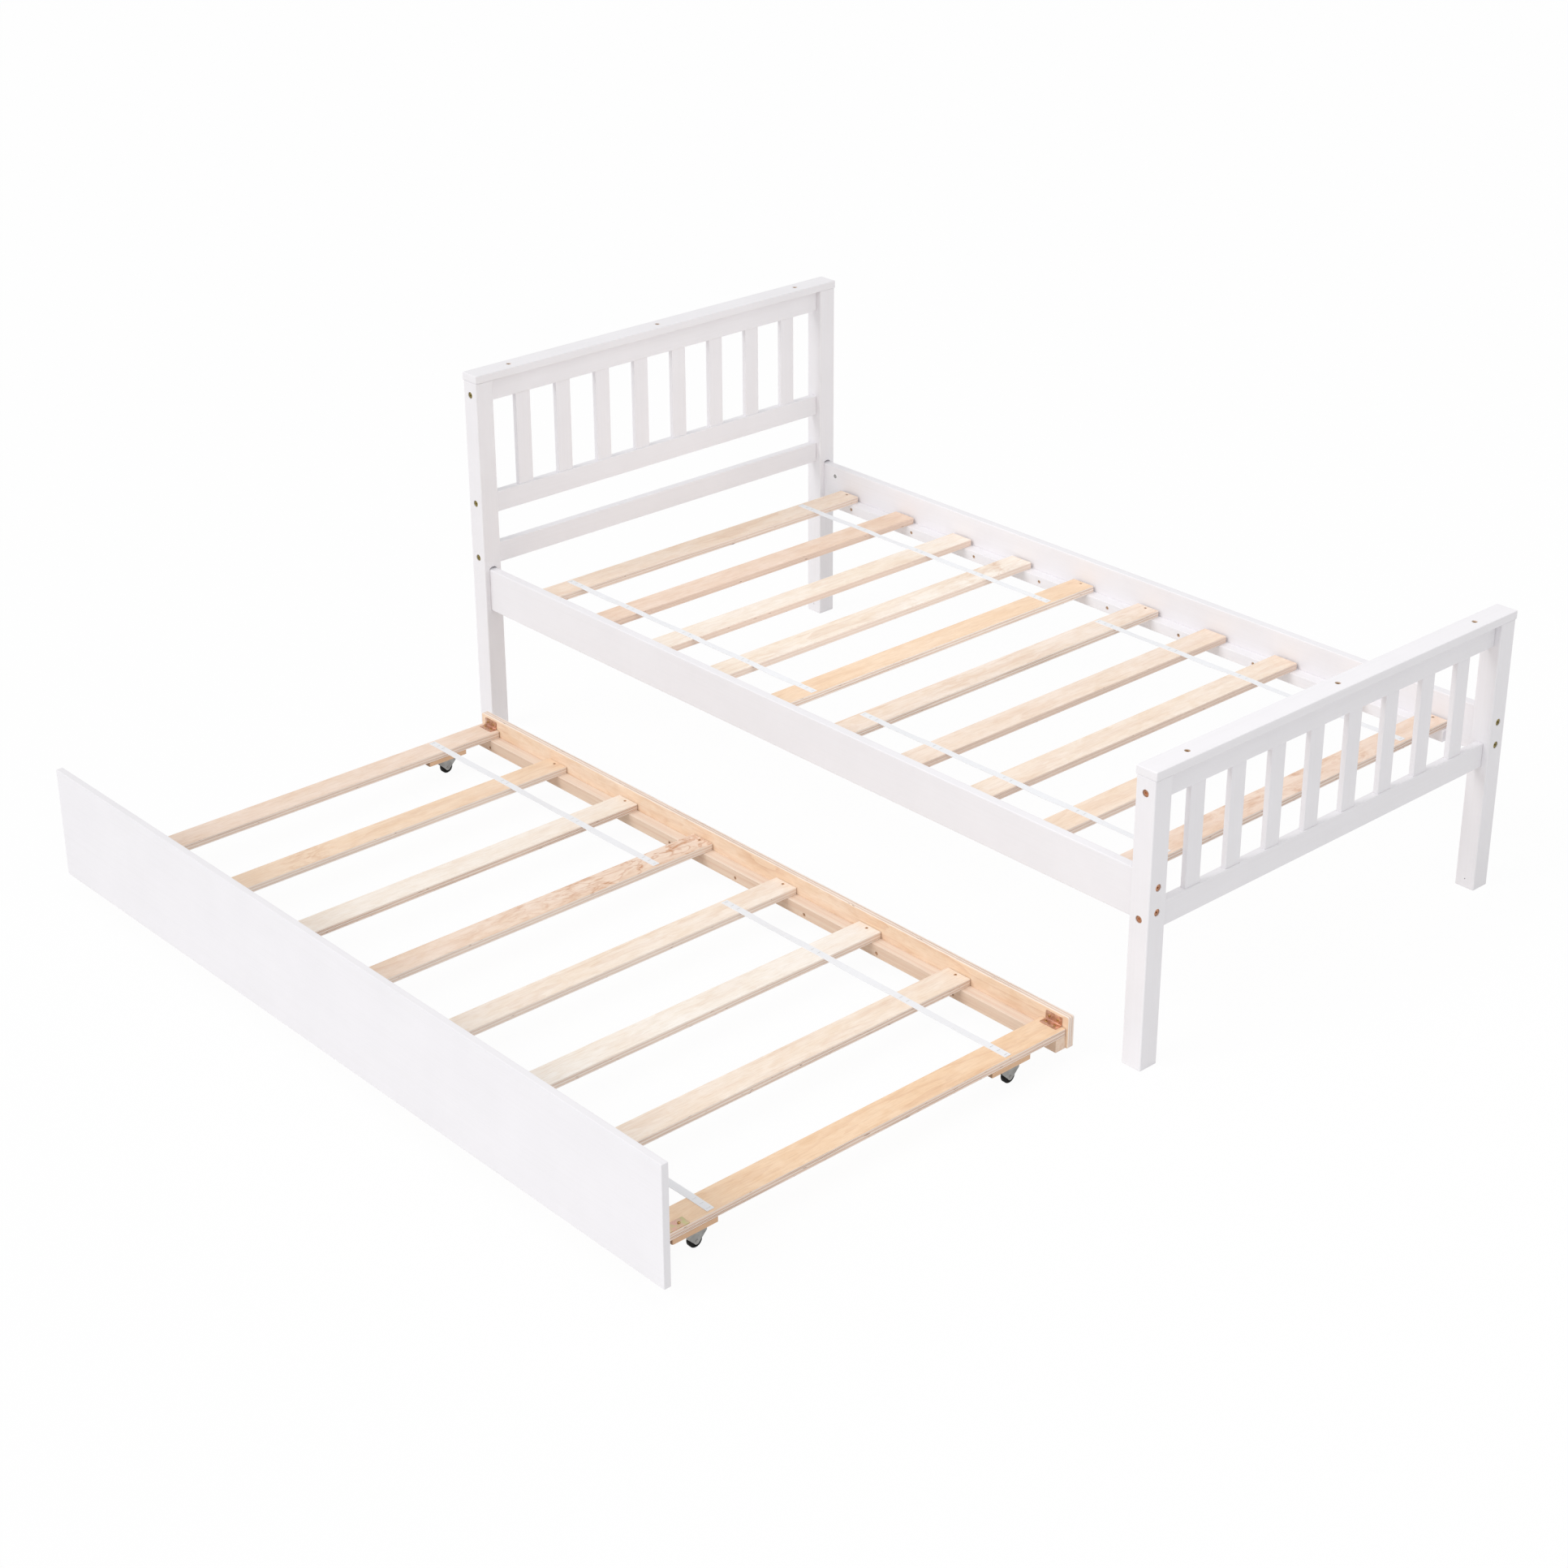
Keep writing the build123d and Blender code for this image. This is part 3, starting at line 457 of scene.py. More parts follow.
def burl_veins(tree, place, moved, mottle, along, burl):
    """The mask of a burl: soft brown patches and crooked veins, about 35 mm apart, that fade out round it."""
    reach_map = add_node(tree, "Mapping", {
        "Vector": place, "Location": [-spot / size for spot, size in zip(burl.centre, burl.sizes)],
        "Scale": [1 / size for size in burl.sizes]})
    reach = add_node(tree, "VectorMath", {0: reach_map}, operation="LENGTH")
    near = add_node(tree, "MapRange", {
        "Value": reach, "From Min": 0.2, "From Max": 1.0, "To Min": burl.depth, "To Max": 0.0})
    veins = drawn_out(tree, moved, along, 110 * MM, 35 * MM, detail=3.0, rough=0.55, distortion=0.9)
    to_vein = add_node(tree, "Math", {0: veins, 1: 0.5}, operation="SUBTRACT")
    off_vein = add_node(tree, "Math", {0: to_vein}, operation="ABSOLUTE")
    vein = add_node(tree, "MapRange", {
        "Value": off_vein, "From Min": 0.0, "From Max": 0.05, "To Min": 1.0, "To Max": 0.0}, **SOFT_STEP)
    stain = add_node(tree, "MapRange", {
        "Value": mottle, "From Min": 0.50, "From Max": 0.36, "To Min": 0.0, "To Max": 0.8})
    marks = add_node(tree, "Math", {0: vein, 1: 0.55, 2: stain}, operation="MULTIPLY_ADD")
    return add_node(tree, "Math", {0: marks, 1: near}, operation="MULTIPLY")


def ply_edge(tree, colours, ply, place, moved, face, start, look):
    """The colour of a plywood edge, and the mask of its glue lines and gaps.

    The plies are counted from the sheet's own face at start, and are a little wavy."""
    split = add_node(tree, "SeparateXYZ", {0: place})
    wobble = drawn_out(tree, moved, face, 20 * MM, 100 * MM)
    depth = add_node(tree, "Math", {
        0: split.outputs[face], 1: 1 / ply, 2: -0.25 - start / ply}, operation="MULTIPLY_ADD")
    layer = add_node(tree, "Math", {0: wobble, 1: 0.5, 2: depth}, operation="MULTIPLY_ADD")
    pair = add_node(tree, "Math", {0: layer, 1: 2.0}, operation="FLOORED_MODULO")
    half = add_node(tree, "Math", {0: pair, 1: 0.5}, operation="MULTIPLY")
    pale = Vector(colours.ply_edge).lerp(Vector(colours.ply_cross), look.edge)
    dark = pale.lerp(Vector(colours.ply_cross), 0.3 + 0.7 * look.lines)
    plies = add_node(tree, "ValToRGB", {"Fac": half}, [
        (0.0, pale), (0.42, pale), (0.56, dark), (0.90, dark), (1.0, pale)])

    # Glue lines between the plies come and go along the edge, and some plies have dark gaps
    from_line = add_node(tree, "Math", {0: layer, 1: 0.5}, operation="PINGPONG")
    line = add_node(tree, "MapRange", {
        "Value": from_line, "From Min": 0.03, "From Max": 0.15, "To Min": 1.0, "To Max": 0.0})
    fade = drawn_out(tree, moved, face, 1.6 * ply, 220 * MM)
    strong = add_node(tree, "MapRange", {
        "Value": fade, "From Min": 0.46, "From Max": 0.58,
        "To Min": 0.03, "To Max": 0.10 + 0.90 * look.lines})
    lines = add_node(tree, "Math", {0: line, 1: strong}, operation="MULTIPLY")
    holes = drawn_out(tree, moved, face, 2.4 * MM, 24 * MM)
    least_hole = 0.73 - 0.05 * look.lines
    gaps = add_node(tree, "MapRange", {
        "Value": holes, "From Min": least_hole, "From Max": least_hole + 0.05, "To Min": 0.0, "To Max": 0.9})
    marks = add_node(tree, "Math", {0: lines, 1: gaps}, operation="MAXIMUM")
    edge = add_node(tree, "Mix", {SHARE: marks, FROM: plies, TO: (*colours.glue_line, 1.0)}, **BLEND)
    return edge, marks


def planed_poplar(colours, name, wood, along, end_grain_and_shade=1.0, side_shade=(1.0, 1.0, 1.0)):
    """Planed solid poplar: pale straight grain with slow bands of tone, a dry surface and darker sawn ends.

    The end value is how bright a sawn end is beside the long faces: darker end grain, with painted shade as
    well when it is set low. The side value is painted shade: a tint that darkens the faces that stand upright,
    as in the shade under the slats."""
    material, tree, shader = new_material(f"planed_poplar_{name}", {"IOR": 1.5})
    place = add_node(tree, "TexCoord").outputs["Object"]
    # Growth bands about 7 mm wide and fibres about 1.5 mm wide
    bands = drawn_out(tree, place, along, 600 * MM, 7 * MM)
    fibres = drawn_out(tree, place, along, 100 * MM, 1.5 * MM, detail=3.0)
    dark = Vector(wood).lerp(Vector(colours.veneer_grain), 0.22)
    tone = add_node(tree, "ValToRGB", {"Fac": bands}, [(0.34, dark), (0.58, wood)])
    streaks = add_node(tree, "ValToRGB", {"Fac": fibres}, [(0.30, (0.88, 0.85, 0.81)), (0.55, grey(1.0))])
    grained = add_node(tree, "Mix", {SHARE: 0.7, FROM: tone, TO: streaks}, **SHADE)
    normal = add_node(tree, "SeparateXYZ", {0: add_node(tree, "NewGeometry").outputs["Normal"]})
    facing = add_node(tree, "Math", {0: normal.outputs[along]}, operation="ABSOLUTE")
    at_end = add_node(tree, "MapRange", {"Value": facing, "From Min": 0.6, "From Max": 0.8})
    level = add_node(tree, "Math", {0: normal.outputs["Z"]}, operation="ABSOLUTE")
    # Painted shade: faces that stand upright take the side tint, darker than the faces that look up
    upright = add_node(tree, "ValToRGB", {"Fac": level}, [(0.4, side_shade), (0.7, grey(1.0))])
    # A sawn end's tone: darker end grain, and painted shade on the end when the value is low
    sawn = (end_grain_and_shade, 0.95 * end_grain_and_shade, 0.9 * end_grain_and_shade, 1.0)
    tint = add_node(tree, "Mix", {SHARE: at_end, FROM: upright, TO: sawn}, **BLEND)
    shaded = add_node(tree, "Mix", {SHARE: 1.0, FROM: grained, TO: tint}, **SHADE)
    gloss = add_node(tree, "MapRange", {"Value": fibres, "To Min": 0.55, "To Max": 0.75})
    bump = add_node(tree, "Bump", {"Height": fibres, "Strength": 0.2, "Distance": 0.3 * MM})
    return surfaced(material, shader, shaded, gloss, bump)


def woven_webbing(colours):
    """Thin woven polypropylene webbing: white, a little glossy, with a fine weave.

    The threads are 1 mm apart in life and are drawn 2 mm apart so that they show."""
    turns_per_metre = 1 / (2 * MM)
    material, tree, shader = new_material("woven_webbing", {"IOR": 1.49, "Sheen Weight": 0.15})
    place = add_node(tree, "UVMap")
    split = add_node(tree, "SeparateXYZ", {0: place})
    threads = []
    for axis in "XY":
        turn = add_node(tree, "Math", {
            0: split.outputs[axis], 1: 2 * math.pi * turns_per_metre}, operation="MULTIPLY")
        threads.append(add_node(tree, "Math", {0: turn}, operation="SINE"))
    weave = add_node(tree, "Math", {0: threads[0], 1: threads[1]}, operation="MULTIPLY")
    level = add_node(tree, "MapRange", {"Value": weave, "From Min": -1.0, "From Max": 1.0})
    # Rubbed patches about 30 mm across
    wear = add_node(tree, "TexNoise", {"Vector": place, "Scale": 1 / (30 * MM), "Detail": 2.0})
    tone = add_node(tree, "ValToRGB", {"Fac": level}, [(0.1, colours.webbing * 0.95), (0.6, colours.webbing)])
    gloss = add_node(tree, "MapRange", {"Value": wear, "To Min": 0.42, "To Max": 0.62})
    bump = add_node(tree, "Bump", {"Height": level, "Strength": 0.25, "Distance": 0.3 * MM})
    return surfaced(material, shader, tone, gloss, bump)


def plated_metal(name, base, stain, rough, cloud):
    """Plated steel: a metal whose plating clouds from one tone to another and is a little uneven in gloss.

    base and stain are the two tones, rough the range of roughness and cloud the size of the clouds."""
    material, tree, shader = new_material(name, {"Metallic": 1.0})
    place = add_node(tree, "TexCoord").outputs["Object"]
    clouds = add_node(tree, "TexNoise", {
        "Vector": place, "Scale": 1 / cloud, "Detail": 4.0, "Roughness": 0.6, "Distortion": 0.6})
    scratches = add_node(tree, "TexNoise", {"Vector": place, "Scale": 1 / (0.8 * MM), "Detail": 2.0})
    tone = add_node(tree, "ValToRGB", {"Fac": clouds}, [(0.36, stain), (0.62, base)])
    gloss = add_node(tree, "MapRange", {"Value": clouds, "To Min": rough[1], "To Max": rough[0]})
    bump = add_node(tree, "Bump", {"Height": scratches, "Strength": 0.12, "Distance": 0.1 * MM})
    return surfaced(material, shader, tone, gloss, bump)


def moulded_plastic(colours):
    """Moulded black polypropylene: a dull gloss, with faint mould flow and a little dust."""
    material, tree, shader = new_material(
        "moulded_black_polypropylene", {"IOR": 1.49, "Specular IOR Level": 0.15})
    place = add_node(tree, "TexCoord").outputs["Object"]
    # Flow marks about 6 mm across
    flow = add_node(tree, "TexNoise", {"Vector": place, "Scale": 1 / (6 * MM), "Detail": 3.0})
    dusty = [channel + 0.006 for channel in colours.tyre]
    tone = add_node(tree, "ValToRGB", {"Fac": flow}, [(0.4, colours.tyre), (0.7, dusty)])
    gloss = add_node(tree, "MapRange", {"Value": flow, "To Min": 0.45, "To Max": 0.65})
    bump = add_node(tree, "Bump", {"Height": flow, "Strength": 0.1, "Distance": 0.2 * MM})
    return surfaced(material, shader, tone, gloss, bump)


class BED_OT_painted_boards(bpy.types.Operator):
    """Dress the white boards of the bed and the trundle's front panel"""
    bl_idname = "bed.painted_boards"
    bl_label = "Painted boards"

    def execute(self, context):
        colours = context.scene.bed_colours
        sizes = context.scene.bed_sizes
        grain = {
            "X": ["side_rail_front", "side_rail_back", "slat_ledger_front", "slat_ledger_back",
                  "trundle_front_panel"],
            "Y": ["headboard_cap", "headboard_top_rail", "headboard_middle_rail", "headboard_lower_rail",
                  "footboard_cap", "footboard_top_rail", "footboard_bottom_rail"],
            "Z": ["headboard_post_front", "headboard_post_back", "headboard_slats",
                  "footboard_post_front", "footboard_post_back", "footboard_slats"],
        }
        for along, names in grain.items():
            material = painted_pine(colours, sizes, along)
            for name in names:
                dress(nodes[name], material)
        return {"FINISHED"}


Look = namedtuple("Look", "warmth blush figure lines edge")

# Each slat's look, from the headboard to the footboard
BED_SLAT_LOOKS = [
    Look(0.26, 0.15, 0.4, 0.5, 0.25),
    Look(0.20, 0.50, 0.3, 0.4, 0.70),
    Look(0.12, 0.0, 0.3, 0.2, 0.50),
    Look(0.08, 0.0, 0.5, 0.2, 0.25),
    Look(0.62, 0.0, 0.2, 0.7, 0.0),
    Look(0.10, 0.25, 0.5, 0.7, 0.0),
    Look(0.16, 0.25, 0.3, 0.4, 0.45),
    Look(0.18, 0.12, 0.4, 0.4, 0.40),
    Look(0.30, 0.15, 0.2, 0.5, 0.20),
    Look(0.16, 0.50, 0.6, 0.75, 0.0),
]
TRUNDLE_SLAT_LOOKS = [
    Look(0.22, 0.40, 0.4, 0.6, 0.15),
    Look(0.58, 0.05, 0.4, 0.4, 0.0),
    Look(0.08, 0.0, 0.15, 0.8, 0.15),
    Look(0.26, 0.35, 0.6, 0.4, 0.0),
    Look(0.15, 0.05, 0.4, 0.3, 0.0),
    Look(0.0, 0.0, 0.15, 0.5, 0.0),
    Look(0.18, 0.05, 0.4, 0.7, 0.05),
    Look(0.74, 0.0, 0.6, 1.0, 0.30),
]
BACK_RAIL_LOOK = Look(0.54, 0.06, 0.8, 0.75, 0.05)
# The back rail's pattern starts clear of the slats' patterns
BACK_RAIL_SEED = 31

Burl = namedtuple("Burl", "centre sizes depth")

# Burls: the place as a share of the slat's length from its front end, the half length in metres and the depth
BURLS = {
    "trundle_slat_2": (0.34, 0.10, 0.3),
    "trundle_slat_4": (0.97, 0.65, 0.95),
    "bed_slat_04": (0.90, 0.15, 0.35),
    "bed_slat_10": (0.55, 0.45, 0.4),
}
BURL_HALF_WIDTH = 0.10


def burl_on(name):
    """The burl on the top of one slat, or nothing if it has none."""
    if name not in BURLS:
        return None
    share, half_length, depth = BURLS[name]
    low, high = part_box(name)
    centre = ((low[0] + high[0]) / 2, low[1] + share * (high[1] - low[1]), high[2])
    return Burl(centre, (BURL_HALF_WIDTH, half_length, BURL_HALF_WIDTH), depth)


class BED_OT_slats(bpy.types.Operator):
    """Dress each slat of both decks in plywood with its own tone and figure"""
    bl_idname = "bed.slats"
    bl_label = "Plywood slats"

    def execute(self, context):
        colours = context.scene.bed_colours
        sizes = context.scene.bed_sizes
        looks = {f"bed_slat_{number:02d}": look for number, look in enumerate(BED_SLAT_LOOKS, 1)}
        looks.update({f"trundle_slat_{number}": look for number, look in enumerate(TRUNDLE_SLAT_LOOKS, 1)})
        for seed, (name, look) in enumerate(looks.items()):
            dress(nodes[name], plywood(colours, sizes, name, "Z", "Y", look, seed, burl_on(name)))
        return {"FINISHED"}


class BED_OT_trundle_boards(bpy.types.Operator):
    """Dress the trundle's back rail, ledgers and caster blocks, and the dowels"""
    bl_idname = "bed.trundle_boards"
    bl_label = "Trundle boards"

    def execute(self, context):
        colours = context.scene.bed_colours
        sizes = context.scene.bed_sizes
        rail = "trundle_back_rail"
        dress(nodes[rail], plywood(colours, sizes, rail, "Y", "X", BACK_RAIL_LOOK, BACK_RAIL_SEED))
        # The blocks' sawn ends are drawn at 0.45: darker end grain with painted shade on the end faces
        dress(nodes["caster_blocks"], planed_poplar(colours, "blocks", colours.block, "Y", end_grain_and_shade=0.45))
        # The ledgers' upright faces are darkened with a brown tint: painted shade under the slats
        ledger_wood = planed_poplar(colours, "ledgers", colours.poplar, "X", side_shade=(0.90, 0.84, 0.78))
        for name in ("trundle_ledger_front", "trundle_ledger_back"):
            dress(nodes[name], ledger_wood)
        dress(nodes["wood_dowels"], planed_poplar(colours, "dowels", colours.poplar, "Y"))
        return {"FINISHED"}


Slat = namedtuple("Slat", "name low high")

# Straps: the grid's step along and its strips across, the gap over a slat, how far a strap lifts off
# inside a slat's edge, and how far it turns and wanders between two slats
STRAP_STEP = 5 * MM
STRAP_STRIPS = 4
STRAP_GAP = 0.05 * MM
STRAP_LIFT = 1 * MM
STRAP_ROLL = math.radians(6)
STRAP_WANDER = 1.2 * MM


class BED_OT_straps(bpy.types.Operator):
    """Lay the webbing straps over the slats, with a little sag and twist between them"""
    bl_idname = "bed.straps"
    bl_label = "Webbing straps"

    def execute(self, context):
        most_sag = context.scene.bed_sizes.strap_sag
        material = woven_webbing(context.scene.bed_colours)
        for deck, body in DECKS:
            slats = [Slat(name, *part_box(name)) for name in sorted(nodes) if name.startswith(f"{deck}_slat_")]
            for number, points in enumerate(solids_of(f"{deck}_straps"), 1):
                low, high = corners_of(points)
                under = [slat for slat in slats if slat.high[0] > low.x and slat.low[0] < high.x]
                strap, length = lay_strap(low, high, under, most_sag, number)
                finish_piece(strap, f"{deck}_strap_{number}", material, body, f"{deck}_straps")
        return {"FINISHED"}


def lay_strap(low, high, slats, most_sag, number):
    """One strap as a fine grid: flat on each slat, and sagging and turning a little between slats.

    Returns the strap and its length along the webbing."""
    run = high.x - low.x
    width = high.y - low.y
    steps = round(run / STRAP_STEP)
    strap = new_piece(bpy.ops.mesh.primitive_grid_add, x_subdivisions=steps, y_subdivisions=STRAP_STRIPS,
                      size=1.0, calc_uvs=True)
    middle_y = (low.y + high.y) / 2
    underside = low.z + STRAP_GAP
    for point in strap.data.vertices:
        x = low.x + (point.co.x + 0.5) * run
        side = point.co.y * width
        drop, roll, wander = strap_hang(x, slats, most_sag, number)
        y = middle_y + wander + side * math.cos(roll)
        point.co = (x, y, underside - drop + side * math.sin(roll))
    length = strap_length(strap, steps)
    for loop in strap.data.uv_layers.active.data:
        loop.uv = (loop.uv[0] * length, loop.uv[1] * width)
    apply_modifier(strap, "SOLIDIFY", thickness=high.z - low.z, offset=1.0)
    return strap, length


def strap_hang(x, slats, most_sag, number):
    """How far a strap sags, turns and wanders at x: not on a slat, and most in the middle between two.

    The sines give each strap and each space between slats an amount of its own."""
    for space, (before, after) in enumerate(zip(slats, slats[1:])):
        start = before.high[0] - STRAP_LIFT
        stop = after.low[0] + STRAP_LIFT
        if start < x < stop:
            share = (x - start) / (stop - start)
            swell = math.sin(math.pi * share) ** 2
            looseness = math.sin(1.9 * space + 2.7 * number)
            twist = math.sin(2.3 * space + 1.3 * number)
            drop = most_sag * (0.55 + 0.45 * looseness) * 4 * share * (1 - share)
            return drop, STRAP_ROLL * twist * swell, STRAP_WANDER * looseness * swell
    return 0.0, 0.0, 0.0


def strap_length(strap, steps):
    """The length of a strap along one edge of its grid."""
    edge = sorted((point.co for point in strap.data.vertices if point.index <= steps), key=lambda co: co.x)
    return sum((after - before).length for before, after in zip(edge, edge[1:]))


class BED_OT_staples(bpy.types.Operator):
    """Set a wire staple over the strap at each place the CAD gives"""
    bl_idname = "bed.staples"
    bl_label = "Staples"

    def execute(self, context):
        zinc = context.scene.bed_colours.bright_zinc_and_highlight
        material = plated_metal("zinc_wire", zinc, zinc * 0.8, (0.35, 0.55), 4 * MM)
        for deck, body in DECKS:
            boxes = [corners_of(points) for points in solids_of(f"{deck}_staples")]
            places = []
            for low, high in boxes:
                middle = (low + high) / 2
                places.append(Matrix.Translation((middle.x, middle.y, high.z)))
            low, high = boxes[-1]
            staples = copies_joined(self.one_staple(high - low), places)
            finish_piece(staples, f"{deck}_wire_staples", material, body, f"{deck}_staples")
        return {"FINISHED"}

    def one_staple(self, spans):
        """A staple whose crown's top is at the origin: a bar with its two ends drawn down into legs.

        Its round wire and crown are a little smaller than the CAD's square staple."""
        wire = 0.6 * spans.x
        crown = 0.8 * spans.y
        rounding = 0.28 * wire
        leg = crown / 2 - wire
        staple = new_piece(bpy.ops.mesh.primitive_cube_add, size=1.0, location=(0, 0, -wire / 2),
                           scale=(wire, crown, wire))
        edit(staple)
        for side in (-1, 1):
            bpy.ops.mesh.select_all(action="SELECT")
            bpy.ops.mesh.bisect(plane_co=(0, side * leg, 0), plane_no=(0, 1, 0))
        pick(lambda middle, normal: normal.z < -SQUARELY and abs(middle.y) > leg)
        extrude((0, 0, wire - spans.z))
        bpy.ops.object.mode_set(mode="OBJECT")
        soften(staple, rounding, sharper_than=30)
        return staple


class BED_OT_bolts(bpy.types.Operator):
    """Put a socket-head bolt in each sunk hole of the posts, and dress the barrel nuts"""
    bl_idname = "bed.bolts"
    bl_label = "Bolts and nuts"

    def execute(self, context):
        colours = context.scene.bed_colours
        post_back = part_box("footboard_post_front")[1][1] + MM
        copper_bolts = []
        olive_bolts = []
        for place, sizes in fasteners_of("frame_bolts"):
            # The front post of the footboard has the copper bolts
            in_front = place.translation.x > 0 and place.translation.y < post_back
            bolts = copper_bolts if in_front else olive_bolts
            bolts.append((place, sizes))
        sets = [
            ("copper_brass", colours.brass, copper_bolts),
            ("olive_brass", colours.brass_olive, olive_bolts),
        ]
        for name, tone, bolts in sets:
            material = plated_metal(name, tone, tone * 0.7, (0.28, 0.45), 6 * MM)
            piece = fasteners_joined(self.one_bolt, bolts)
            finish_piece(piece, f"{name}_bolts", material, "bed_frame", "frame_bolts")
        nut_metal = plated_metal("zinc_nut", colours.zinc, colours.zinc * 0.7, (0.3, 0.5), 4 * MM)
        dress(nodes["barrel_nuts"], nut_metal)
        return {"FINISHED"}

    def one_bolt(self, head, shank, length):
        """A flat round head with a softened rim and a hex socket, on a plain shank."""
        thick = 2.5 * MM
        rim = 0.7 * MM
        socket_radius = 2.3 * MM
        socket_depth = 2 * MM
        bolt = new_piece(bpy.ops.mesh.primitive_cylinder_add, vertices=40, radius=head, depth=thick,
                         location=(0, 0, -thick / 2))
        edit(bolt)
        pick(lambda middle, normal: normal.z > SQUARELY)
        bpy.ops.mesh.bevel(offset=rim, segments=3, affect="EDGES")
        pick(lambda middle, normal: normal.z < -SQUARELY)
        bpy.ops.mesh.inset(thickness=head - shank)
        extrude((0, 0, thick - length))
        bpy.ops.object.mode_set(mode="OBJECT")
        socket = new_piece(bpy.ops.mesh.primitive_cylinder_add, vertices=6, radius=socket_radius,
                           depth=2 * socket_depth)
        cut_out(bolt, socket)
        return bolt


class BED_OT_screws(bpy.types.Operator):
    """Drive the cross-head screws of the caps, ledgers, slats, brackets and casters"""
    bl_idname = "bed.screws"
    bl_label = "Screws"

    def execute(self, context):
        colours = context.scene.bed_colours
        brass = colours.bright_brass
        yellow = plated_metal("yellow_zinc_screw", colours.screw, colours.screw * 0.5, (0.3, 0.5), 3 * MM)
        golden = plated_metal("bright_brass_screw", brass, brass * 0.6, (0.2, 0.4), 3 * MM)
        grey_zinc = plated_metal("zinc_screw", colours.zinc, colours.zinc * 0.6, (0.3, 0.5), 3 * MM)
        sets = [
            ("cap_screws", "bed_frame", golden, self.flat_head_screw),
            ("bed_wood_screws", "bed_frame", yellow, self.flat_head_screw),
            ("trundle_wood_screws", "trundle", yellow, self.flat_head_screw),
            ("bracket_screws", "trundle", golden, self.pan_head_screw),
            ("caster_screws", "trundle", grey_zinc, self.pan_head_screw),
        ]
        for node, body, material, model in sets:
            piece = fasteners_joined(model, fasteners_of(node))
            finish_piece(piece, f"{node}_set", material, body, node)
        return {"FINISHED"}

    def pan_head_screw(self, head, shank, length):
        """A screw with a low domed head."""
        thick = 1.4 * MM
        dome = 0.9 * MM
        screw = self.start_head(head, thick)
        pick(lambda middle, normal: normal.z > SQUARELY)
        bpy.ops.mesh.bevel(offset=dome, segments=3, affect="EDGES")
        pick(lambda middle, normal: normal.z < -SQUARELY)
        bpy.ops.mesh.inset(thickness=head - shank)
        return self.finish_screw(screw, head, thick, length)

    def flat_head_screw(self, head, shank, length):
        """A screw with a flat head on a cone."""
        thick = 0.3 * MM
        cone = 0.65 * head
        screw = self.start_head(head, thick)
        pick(lambda middle, normal: normal.z < -SQUARELY)
        extrude((0, 0, -cone))
        bpy.ops.transform.resize(value=(shank / head, shank / head, 1.0), center_override=(0, 0, -thick))
        return self.finish_screw(screw, head, thick + cone, length)

    def start_head(self, head, thick):
        """A round disc with its top at the origin, open in edit mode."""
        screw = new_piece(bpy.ops.mesh.primitive_cylinder_add, vertices=24, radius=head, depth=thick,
                          location=(0, 0, -thick / 2))
        edit(screw)
        return screw

    def finish_screw(self, screw, head, head_depth, length):
        """Draws the shank and its tip down from the selected face, and cuts the cross recess in the head."""
        tip = 0.1 * length
        tip_share = 0.4
        slot_sizes = (1.15 * head, 0.32 * head, 0.5 * head)
        extrude((0, 0, head_depth - (length - tip)))
        extrude((0, 0, -tip))
        bpy.ops.transform.resize(value=(tip_share, tip_share, 1.0), center_override=(0, 0, -length))
        bpy.ops.object.mode_set(mode="OBJECT")
        for turn in (0.0, math.pi / 2):
            slot = new_piece(bpy.ops.mesh.primitive_cube_add, size=1.0, rotation=(0, 0, turn),
                             scale=slot_sizes)
            cut_out(screw, slot)
        return screw


